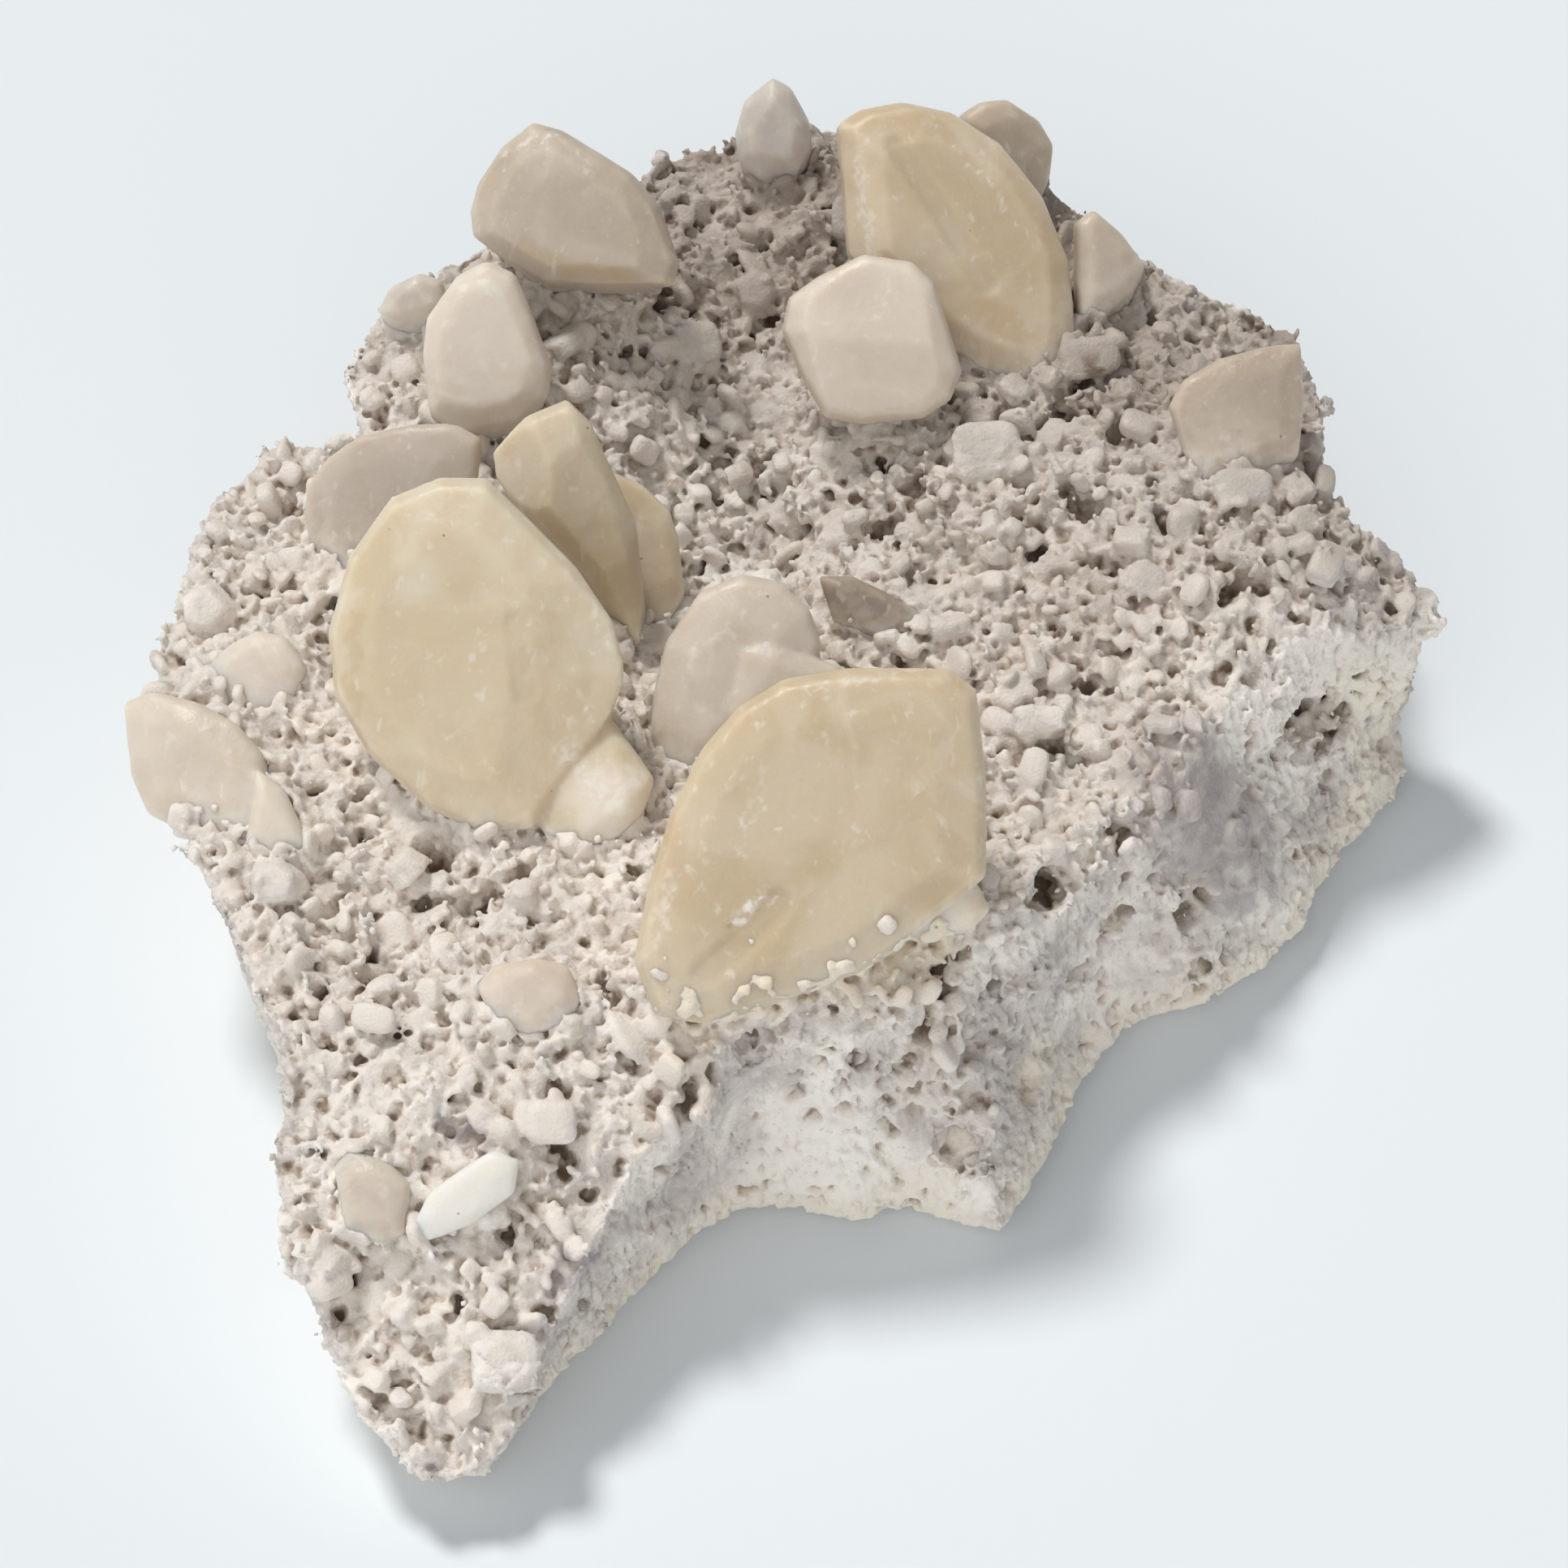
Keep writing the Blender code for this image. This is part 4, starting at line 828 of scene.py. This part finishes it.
def crust_heights(points, look):
    """Clumps of the crust with holes between them, and the share of a hole at each point."""
    distance, own = cell_pattern(points, look.clump_size, CLUMP_ORDER)
    heights = (0.8 * own[:, 0] - 1.0 * distance - 0.35) * look.clump_depth
    right = smooth_step(points[:, 0], 5 * MM, 45 * MM)
    holes = np.zeros(len(points))
    for size, seed, rare in HOLES:
        hole, chosen = cell_pattern(points * (1.0, 1.0, 0.5), size * MM, seed)
        open_hole = (chosen[:, 1] > rare - 0.16 * right) * smooth_step(hole, 0.5, 0.25)
        heights -= open_hole * look.hole_depth * size / HOLES[0][0]
        holes = np.maximum(holes, open_hole)
    return heights, holes


def wall_heights(points, look):
    """Low steps and pits of the bare wall, which is smoother at its lilac face."""
    smooth_zone = along_path(points, *SMOOTH_WALL)
    own = cell_pattern(points, *WALL_STEPS)[1]
    heights = (own[:, 0] - 0.8) * STEP_HEIGHT * (1 - 0.7 * smooth_zone)
    pit, chosen = cell_pattern(points, *WALL_PITS)
    pitted = (chosen[:, 0] > 0.72) * smooth_step(pit, 0.42, 0.15)
    return heights - pitted * look.wall_pit_depth * (1 - smooth_zone)


def build_rock(look):
    """The host rock in a few pieces: the CAD matrix with clumps, holes, pits, knobs and grains."""
    rock = copy_of_node("matrix", "crusted_rock")
    apply_modifier(rock, "REMESH", mode="VOXEL", voxel_size=look.broad_face)
    mesh = rock.data
    points = points_of(mesh)
    near = nearness(points, crystal_points(), 3.0 * MM)
    slope_share, free = zones(mesh, 12)
    top = crust_share(points, slope_share, near)
    heights, holes = crust_heights(points, look)
    push_out(mesh, free * (1 - near) * (top * heights + (1 - top) * wall_heights(points, look)))
    set_attribute(mesh, "top", top)
    set_attribute(mesh, "hollow", holes * top * (1 - near))
    ground = Ground([rock])
    grown, centres, widths = grown_mesh(ground, near, look)
    only(rock)
    grown.select_set(True)
    bpy.ops.object.join()
    apply_modifier(rock, "REMESH", mode="VOXEL", voxel_size=look.fine_face)
    apply_modifier(rock, "SMOOTH", factor=0.5, iterations=1)
    carve_rock(rock.data, ground, centres, widths)
    flat = of_faces(rock.data, points_of(rock.data)[:, 2]) < 0.3 * MM
    underside = part_off(rock, "underside", flat)
    apply_modifier(underside, "DECIMATE", decimate_type="COLLAPSE", ratio=UNDERSIDE_SHARE)
    kept_share = min(1.0, ROCK_TRIANGLES / len(triangles_of(rock.data)))
    apply_modifier(rock, "DECIMATE", decimate_type="COLLAPSE", ratio=kept_share)
    apply_modifier(rock, "SMOOTH", factor=0.28, iterations=1)
    for piece in (underside, rock):
        mark_rock(piece.data, ground, centres, widths)
    return [underside] + split_rock(rock)


def carve_rock(mesh, ground, centres, widths):
    """The finest forms: stalks and pocks on the wall, crumbs on the crust between the clear grains."""
    points = points_of(mesh)
    top = ground.top[nearest_of(points, ground.points)[0]]
    free = smooth_step(points[:, 2], 0.6 * MM, 3.0 * MM)
    heights = np.zeros(len(points))
    bare = top < 0.95
    pock, chosen = cell_pattern(points[bare], *WALL_POCKS)
    carved = (chosen[:, 0] > 0.55) * smooth_step(pock, 0.45, 0.2) * -POCK_DEPTH
    stalk, own = cell_pattern(points[bare] * (1.0, 1.0, 0.3), *WALL_STALKS)
    carved += (0.35 - stalk) * (own[:, 1] > 0.35) * STALK_HEIGHT
    sugar, own = cell_pattern(points[bare], *WALL_SUGAR)
    carved += (0.5 - sugar) * own[:, 0] * SUGAR_HEIGHT
    cavity, chosen = cell_pattern(points[bare], *WALL_CAVITIES)
    cluster = smooth_step(patches(points[bare], *CAVITY_PATCHES), 0.45, 0.75)
    carved -= (chosen[:, 0] > 0.45) * cluster * smooth_step(cavity, 0.5, 0.2) * CAVITY_DEPTH
    smooth_zone = along_path(points[bare], *SMOOTH_WALL)
    heights[bare] = (1 - top[bare]) * carved * (1 - 0.75 * smooth_zone)
    clear = clear_share(points, centres, widths) * top
    crusted = top > 0.05
    crumb, own = cell_pattern(points[crusted], *CRUST_CRUMBS)
    crumbs = (0.5 - crumb) * (0.35 + own[:, 2]) * CRUMB_HEIGHT
    heights[crusted] += (top * (1 - clear))[crusted] * crumbs
    push_out(mesh, free * heights)
    points = points_of(mesh)
    points[:, 2] = np.where(points[:, 2] < GROUND_LEVEL, 0.0, points[:, 2])
    mesh.vertices.foreach_set("co", points.astype(np.float32).ravel())
    mesh.update()


def clear_share(points, centres, widths):
    """How much each point is part of a see-through grain."""
    which, distance = nearest_of(points, centres)
    return smooth_step(distance / widths[which], 1.15, 0.9)


def mark_rock(mesh, ground, centres, widths):
    """Attributes that the rock's material reads: crust, brown gaps with painted shade in recesses, clear
    grains, and stains with a few patches of painted light and shade.
    """
    points = points_of(mesh)
    which, _ = nearest_of(points, ground.points)
    top = ground.top[which]
    rise = np.sum((points - ground.points[which]) * ground.normals[which], axis=1)
    gaps = 0.9 * ground.hollow[which] * smooth_step(rise, 1.1 * MM, 0.3 * MM)
    # painted shade: low points between the knobs are darkened
    gaps = np.maximum(gaps, 0.22 * top * smooth_step(rise, 0.5 * MM, 0.1 * MM))
    # painted shade: points below the evened surface are darkened, lightly at the finest scale and strongly in
    # broad recesses
    hollow = smooth_step(hollowness(mesh, 6), 0.03 * MM, 0.16 * MM) * 0.12
    hollow += smooth_step(hollowness(mesh, 30), 0.15 * MM, 0.7 * MM) * 0.8
    set_attribute(mesh, "top", top)
    set_attribute(mesh, "hollow", np.clip(hollow + gaps, 0, 1))
    set_attribute(mesh, "clear", clear_share(points, centres, widths) * top)
    stained = np.zeros((len(points), 4))
    for tint, strength, width, path in STAINS_AND_LIGHT_PATCHES:
        share = strength * along_path(points, path, width)
        stained[share > stained[:, 3], :3] = tint
        stained[:, 3] = np.maximum(stained[:, 3], share)
    set_colours(mesh, "stain_and_light", stained)
    mesh.shade_smooth()


def of_faces(mesh, values):
    """The points' values at the first corner of each face."""
    corners = np.empty(len(mesh.loops), np.int32)
    mesh.loops.foreach_get("vertex_index", corners)
    starts = np.empty(len(mesh.polygons), np.int32)
    mesh.polygons.foreach_get("loop_start", starts)
    return values[corners[starts]]


def part_off(rock, name, chosen):
    """Separates the chosen faces into a piece of their own."""
    only(rock)
    bpy.ops.object.mode_set(mode="EDIT")
    bpy.ops.mesh.select_mode(type="FACE")
    bpy.ops.mesh.select_all(action="DESELECT")
    bpy.ops.object.mode_set(mode="OBJECT")
    rock.data.polygons.foreach_set("select", chosen)
    bpy.ops.object.mode_set(mode="EDIT")
    bpy.ops.mesh.separate(type="SELECTED")
    bpy.ops.object.mode_set(mode="OBJECT")
    made = next(o for o in bpy.context.selected_objects if o != rock)
    made.name = name
    made.data.name = name
    return made


def split_rock(rock):
    """Parts the finished rock into crust and wall, so that each piece stays light."""
    made = []
    for k, name in enumerate(CRUST_PARTS):
        top = np.empty(len(rock.data.vertices), np.float32)
        rock.data.attributes["top"].data.foreach_get("value", top)
        crusted = of_faces(rock.data, top) > 0.5
        along = of_faces(rock.data, points_of(rock.data)[:, 1])
        limit = np.quantile(along[crusted], 1 - 1 / (len(CRUST_PARTS) - k))
        made.append(part_off(rock, name, crusted & (along >= limit)))
    across = of_faces(rock.data, points_of(rock.data)[:, 0])
    made.append(part_off(rock, "wall_right", across > np.median(across)))
    rock.name = "wall_left"
    rock.data.name = "wall_left"
    return made + [rock]


def along_path(points, path, width, crooked=True):
    """Share of a marking at each point: 1 on its path and 0 past its half width."""
    path = np.array(path) * MM
    if crooked:
        points = points + 0.3 * MM * np.sin(points[:, [1, 2, 0]] * 2100)
        points = points + 0.2 * MM * np.sin(points[:, [2, 0, 1]] * 4700)
    nearest = np.full(len(points), 1.0)
    for start, end in zip(path[:-1], path[1:]):
        run = end - start
        share = np.clip((points - start) @ run / (run @ run), 0, 1)
        nearest = np.minimum(nearest, np.linalg.norm(points - start - share[:, None] * run, axis=1))
    half = 0.5 * width * MM
    return smooth_step(nearest, half + 0.15 * MM, 0.35 * half)


def build_crystal(node, look):
    """One large crystal: the CAD solid with softened edges, waved faces, its rim marked for a painted
    highlight and its flaws.
    """
    crystal = copy_of_node(node, node + "_frosted")
    apply_modifier(crystal, "REMESH", mode="VOXEL", voxel_size=look.face_size)
    apply_modifier(crystal, "SMOOTH", factor=0.5, iterations=5 if node in PALE else 2)
    ripple(crystal, 7 * MM, 2, look.ripple)
    ripple(crystal, 1.6 * MM, 1, look.fine_ripple)
    mesh = crystal.data
    points = points_of(mesh)
    shares = {"veil": 0, "pale": 0, "amber": 0, "speck": 0, "groove": 0}
    for kind, width, strength, path in FLAWS.get(node, ()):
        shares[kind] = np.maximum(shares[kind], strength * along_path(points, path, width, kind != "groove"))
    push_out(mesh, -GROOVE_DEPTH * shares.pop("groove") * np.ones(len(points)))
    for kind, share in shares.items():
        set_attribute(mesh, kind, share * np.ones(len(points)))
    # share of the painted edge highlight, from how far each point bulges past the evened surface
    bulge = -hollowness(mesh, 40)
    set_attribute(mesh, "edge", smooth_step(bulge, 0.05 * MM, 0.45 * MM))
    mesh.shade_smooth()
    return crystal


def facing_frame(turn, lean):
    """Rotation whose third column looks out of a face with that turn and lean, in degrees."""
    a = math.radians(turn)
    e = math.radians(lean)
    facing = Vector((-math.sin(a) * math.cos(e), -math.cos(a) * math.cos(e), math.sin(e)))
    across = Vector((math.cos(a), -math.sin(a), 0.0))
    upward = facing.cross(across)
    return np.array([across, upward, facing]).T


def modelled_shape(kind, seed, **settings):
    """A small grain shape about one unit in half width, modelled once to be copied."""
    bpy.ops.object.select_all(action="DESELECT")
    if kind == "lump":
        bpy.ops.mesh.primitive_ico_sphere_add(subdivisions=settings["detail"], radius=1.0)
    elif kind == "block":
        bpy.ops.mesh.primitive_cube_add(size=1.7)
    else:
        bpy.ops.mesh.primitive_cone_add(
            vertices=settings["sides"], radius1=1.05, radius2=0.7, depth=1.5, end_fill_type="NGON"
        )
    shape = bpy.context.active_object
    bpy.ops.object.mode_set(mode="EDIT")
    bpy.ops.mesh.select_all(action="SELECT")
    if kind != "lump":
        bpy.ops.transform.vertex_random(offset=0.14, uniform=0.0, normal=0.0, seed=seed)
        bpy.ops.mesh.bevel(offset=settings["bevel"], segments=settings["rounds"], affect="EDGES")
    else:
        bpy.ops.transform.vertex_random(offset=0.13, uniform=0.1, normal=0.0, seed=seed)
    bpy.ops.mesh.select_all(action="SELECT")
    bpy.ops.transform.resize(value=settings.get("proportions", (1.0, 0.85, 0.72)))
    bpy.ops.mesh.normals_make_consistent(inside=False)
    bpy.ops.object.mode_set(mode="OBJECT")
    points = points_of(shape.data)
    triangles = triangles_of(shape.data).copy()
    bpy.data.objects.remove(shape)
    return points, triangles


def copies(shapes, picks, frames, sizes, places):
    """All copies of a few shapes as one array of points and one of triangles."""
    all_points, all_triangles = [], []
    base = 0
    for k, (points, triangles) in enumerate(shapes):
        chosen = np.nonzero(picks == k)[0]
        if not len(chosen):
            continue
        shaped = points[None, :, :] * sizes[chosen][:, None, :]
        placed = np.einsum("nij,nvj->nvi", frames[chosen], shaped) + places[chosen][:, None, :]
        starts = base + np.arange(len(chosen)) * len(points)
        all_points.append(placed.reshape(-1, 3))
        all_triangles.append((triangles[None, :, :] + starts[:, None, None]).reshape(-1, 3))
        base += len(chosen) * len(points)
    return np.vstack(all_points), np.vstack(all_triangles)


def frames_along(normals, chance, wobble):
    """Random rotations whose third column lies near each normal."""
    count = len(normals)
    up = normals + chance.normal(0, wobble, (count, 3))
    up /= np.linalg.norm(up, axis=1)[:, None]
    side = chance.normal(0, 1, (count, 3))
    side -= np.sum(side * up, axis=1)[:, None] * up
    side /= np.linalg.norm(side, axis=1)[:, None]
    return np.stack([side, np.cross(up, side), up], axis=2)


class Ground:
    """A surface from which places for grains are drawn."""

    def __init__(self, pieces):
        points, normals, triangles, top, hollow, base = [], [], [], [], [], 0
        for piece in pieces:
            mesh = piece.data
            points.append(points_of(mesh))
            normals.append(neighbours_mean(mesh, normals_of(mesh), 8))
            triangles.append(triangles_of(mesh) + base)
            top.append(self.read(mesh, "top"))
            hollow.append(self.read(mesh, "hollow"))
            base += len(mesh.vertices)
        self.points = np.vstack(points)
        self.normals = np.vstack(normals)
        self.triangles = np.vstack(triangles)
        self.top = np.concatenate(top)
        self.hollow = np.concatenate(hollow)
        a, b, c = (self.points[self.triangles[:, k]] for k in range(3))
        self.areas = np.linalg.norm(np.cross(b - a, c - a), axis=1) / 2

    def read(self, mesh, name):
        values = np.zeros(len(mesh.vertices), np.float32)
        if name in mesh.attributes:
            mesh.attributes[name].data.foreach_get("value", values)
        return values.astype(float)

    def draw(self, count, weights, chance):
        """Places on the surface, denser where the weights of its points are high."""
        share = self.areas * weights[self.triangles].mean(axis=1)
        picks = chance.choice(len(share), count, p=share / share.sum())
        u = np.sqrt(chance.random(count))
        v = chance.random(count)
        corner = np.stack([1 - u, u * (1 - v), u * v], axis=1)
        corners = self.triangles[picks]
        places = np.sum(self.points[corners] * corner[:, :, None], axis=1)
        normals = np.sum(self.normals[corners] * corner[:, :, None], axis=1)
        normals /= np.linalg.norm(normals, axis=1)[:, None]
        return places, normals


def nearest_of(points, others):
    """For each point the number of the nearest of the others, and its distance."""
    asking = mesh_piece("asking", points, ())
    asked = mesh_piece("asked", others, ())
    tree = bpy.data.node_groups.new("nearest", "GeometryNodeTree")
    tree.interface.new_socket("Geometry", in_out="INPUT", socket_type="NodeSocketGeometry")
    tree.interface.new_socket("Geometry", in_out="OUTPUT", socket_type="NodeSocketGeometry")
    start = tree.nodes.new("NodeGroupInput")
    end = tree.nodes.new("NodeGroupOutput")
    source = tree.nodes.new("GeometryNodeObjectInfo")
    source.inputs["Object"].default_value = asked
    sample = tree.nodes.new("GeometryNodeSampleNearest")
    store = tree.nodes.new("GeometryNodeStoreNamedAttribute")
    store.data_type = "INT"
    store.inputs["Name"].default_value = "nearest"
    tree.links.new(source.outputs["Geometry"], sample.inputs["Geometry"])
    tree.links.new(start.outputs["Geometry"], store.inputs["Geometry"])
    tree.links.new(sample.outputs["Index"], store.inputs["Value"])
    tree.links.new(store.outputs["Geometry"], end.inputs["Geometry"])
    apply_modifier(asking, "NODES", node_group=tree)
    found = np.empty(len(points), np.int32)
    asking.data.attributes["nearest"].data.foreach_get("value", found)
    for piece in (asking, asked):
        bpy.data.objects.remove(piece)
    bpy.data.node_groups.remove(tree)
    return found, np.linalg.norm(points - others[found], axis=1)


def nearness(points, others, reach):
    """How close each point lies to the others, 1 on them and 0 past the reach."""
    return smooth_step(nearest_of(points, others)[1], reach, 0.3 * reach)


def patches(points, size, seed):
    """Soft random patches over the surface, from 0 to 1."""
    chance = np.random.default_rng(seed)
    total = np.zeros(len(points))
    for _ in range(9):
        direction = chance.normal(0, 1, 3)
        direction /= np.linalg.norm(direction)
        total += np.sin(points @ direction * (2 * math.pi / size) + chance.uniform(0, 6.28))
    return smooth_step(total, -2.2, 2.2)


def keep_apart(places, radii, share):
    """Marks the places that keep their distance from all the earlier ones."""
    cell = float(radii.max()) * 2 * share
    table = {}
    kept = np.zeros(len(places), bool)
    for k in range(len(places)):
        x, y, z = places[k]
        key = (int(x // cell), int(y // cell), int(z // cell))
        clash = False
        for i in (-1, 0, 1):
            for j in (-1, 0, 1):
                for m in (-1, 0, 1):
                    for other in table.get((key[0] + i, key[1] + j, key[2] + m), ()):
                        gap = (radii[k] + radii[other]) * share
                        if np.sum((places[k] - places[other]) ** 2) < gap * gap:
                            clash = True
        if not clash:
            kept[k] = True
            table.setdefault(key, []).append(k)
    return kept


# Operators


class CALCITE_OT_crystals(bpy.types.Operator):
    """Builds the large crystals from their CAD solids"""

    bl_idname = "calcite.crystals"
    bl_label = "Large crystals"

    def execute(self, context):
        look = context.scene.calcite_crystals
        kinds = (
            (YELLOW, "calcite_yellow", look.yellow, look.yellow_rim_and_highlight, 0.22),
            (PALE, "calcite_pale", look.pale, look.pale_rim_and_highlight, 0.30),
            (BEIGE, "calcite_beige", look.beige, look.beige_rim_and_highlight, 0.22),
            (GREY, "calcite_grey", look.grey, look.grey_rim_and_highlight, 0.30),
            (("white_plate",), "calcite_white", look.white, WHITE_RIM_AND_HIGHLIGHT, 0.6),
        )
        for nodes, slot, core, rim, milk in kinds:
            for node in nodes:
                crystal = build_crystal(node, look)
                tone = TONES[node]
                own_core = tuple(c * t for c, t in zip(core, tone))
                own_rim_and_highlight = tuple(c * t for c, t in zip(rim, tone))
                material = crystal_material(node + "_calcite", look, own_core, own_rim_and_highlight, milk)
                finish_piece(crystal, material, (node,))
        return {"FINISHED"}


class CALCITE_OT_rock(bpy.types.Operator):
    """Builds the crusted host rock from the CAD matrix"""

    bl_idname = "calcite.rock"
    bl_label = "Host rock"

    def execute(self, context):
        look = context.scene.calcite_rock
        material = rock_material(look)
        for piece in build_rock(look):
            nodes = ("matrix",) if piece.name == "wall_right" else ()
            finish_piece(piece, material, nodes)
        return {"FINISHED"}


class CALCITE_OT_stage(bpy.types.Operator):
    """Sets up the floor, the lights and the camera"""

    bl_idname = "calcite.stage"
    bl_label = "Stage"

    def execute(self, context):
        look = context.scene.calcite_stage
        scene = context.scene
        bpy.ops.object.select_all(action="DESELECT")
        bpy.ops.mesh.primitive_plane_add(size=6.0, location=(0, 0, -0.0002))
        floor = context.active_object
        floor.name = "floor"
        bpy.ops.object.transform_apply(location=True, rotation=True, scale=True)
        paint = Paint("floor_paper")
        paper = paint.mix(paint.noise(400, 2), look.floor, tuple(0.99 * c for c in look.floor))
        floor.data.materials.append(paint.finish(Base_Color=paper, Roughness=0.95, Specular_IOR_Level=0.0))
        away = Vector((0, -math.cos(look.tilt), math.sin(look.tilt)))
        place = Vector(CAMERA_TARGET) + away * look.distance
        bpy.ops.object.camera_add(location=place, rotation=(math.pi / 2 - look.tilt, 0, 0))
        camera = context.active_object
        camera.data.lens = look.lens
        camera.data.sensor_width = 36
        camera.data.clip_start = 0.01
        scene.camera = camera
        bpy.ops.object.light_add(type="SUN", location=(-0.3, 0.3, 0.6))
        sun = context.active_object
        sun.data.energy = look.sun
        sun.data.angle = SUN_WIDTH
        sun.data.color = SUN_COLOUR
        sun.rotation_euler = Vector(SUN_FROM).to_track_quat("Z", "Y").to_euler()
        self.sky(scene, look)
        scene.view_settings.view_transform = "Standard"
        return {"FINISHED"}

    def sky(self, scene, look):
        """A soft sky that is brighter towards the front left."""
        world = bpy.data.worlds.new("studio")
        scene.world = world
        world.use_nodes = True
        tree = world.node_tree
        place = tree.nodes.new("ShaderNodeTexCoord").outputs["Generated"]
        aim = tree.nodes.new("ShaderNodeVectorMath")
        aim.operation = "DOT_PRODUCT"
        tree.links.new(place, aim.inputs[0])
        aim.inputs[1].default_value = Vector(GLOW_FROM).normalized()
        glow = tree.nodes.new("ShaderNodeMapRange")
        glow.interpolation_type = "SMOOTHSTEP"
        tree.links.new(aim.outputs["Value"], glow.inputs["Value"])
        glow.inputs["To Min"].default_value = look.sky
        glow.inputs["To Max"].default_value = look.sky + look.front
        back = tree.nodes["Background"]
        back.inputs["Color"].default_value = SKY_COLOUR
        tree.links.new(glow.outputs["Result"], back.inputs["Strength"])


class CALCITE_PT_panel(bpy.types.Panel):
    """Lists the steps of the cluster"""

    bl_idname = "CALCITE_PT_panel"
    bl_label = "Calcite cluster"
    bl_space_type = "VIEW_3D"
    bl_region_type = "UI"
    bl_category = "Calcite"

    def draw(self, context):
        layout = self.layout
        for settings, steps in PANEL_ROWS:
            box = layout.box()
            group = getattr(context.scene, settings)
            for name in group.__annotations__:
                box.prop(group, name)
            for step in steps:
                box.operator(step.bl_idname)


PANEL_ROWS = (
    ("calcite_crystals", (CALCITE_OT_crystals,)),
    ("calcite_rock", (CALCITE_OT_rock,)),
    ("calcite_stage", (CALCITE_OT_stage,)),
)
SETTINGS = (
    ("calcite_rock", CalciteRock),
    ("calcite_crystals", CalciteCrystals),
    ("calcite_stage", CalciteStage),
)
OPERATORS = (
    CALCITE_OT_crystals,
    CALCITE_OT_rock,
    CALCITE_OT_stage,
)


def register():
    for name, group in SETTINGS:
        bpy.utils.register_class(group)
        setattr(bpy.types.Scene, name, PointerProperty(type=group))
    for operator in OPERATORS:
        bpy.utils.register_class(operator)
    bpy.utils.register_class(CALCITE_PT_panel)


def unregister():
    bpy.utils.unregister_class(CALCITE_PT_panel)
    for operator in reversed(OPERATORS):
        bpy.utils.unregister_class(operator)
    for name, group in reversed(SETTINGS):
        delattr(bpy.types.Scene, name)
        bpy.utils.unregister_class(group)


def main():
    register()
    bpy.ops.calcite.crystals()
    bpy.ops.calcite.rock()
    bpy.ops.calcite.stage()


if __name__ == "__main__":
    main()
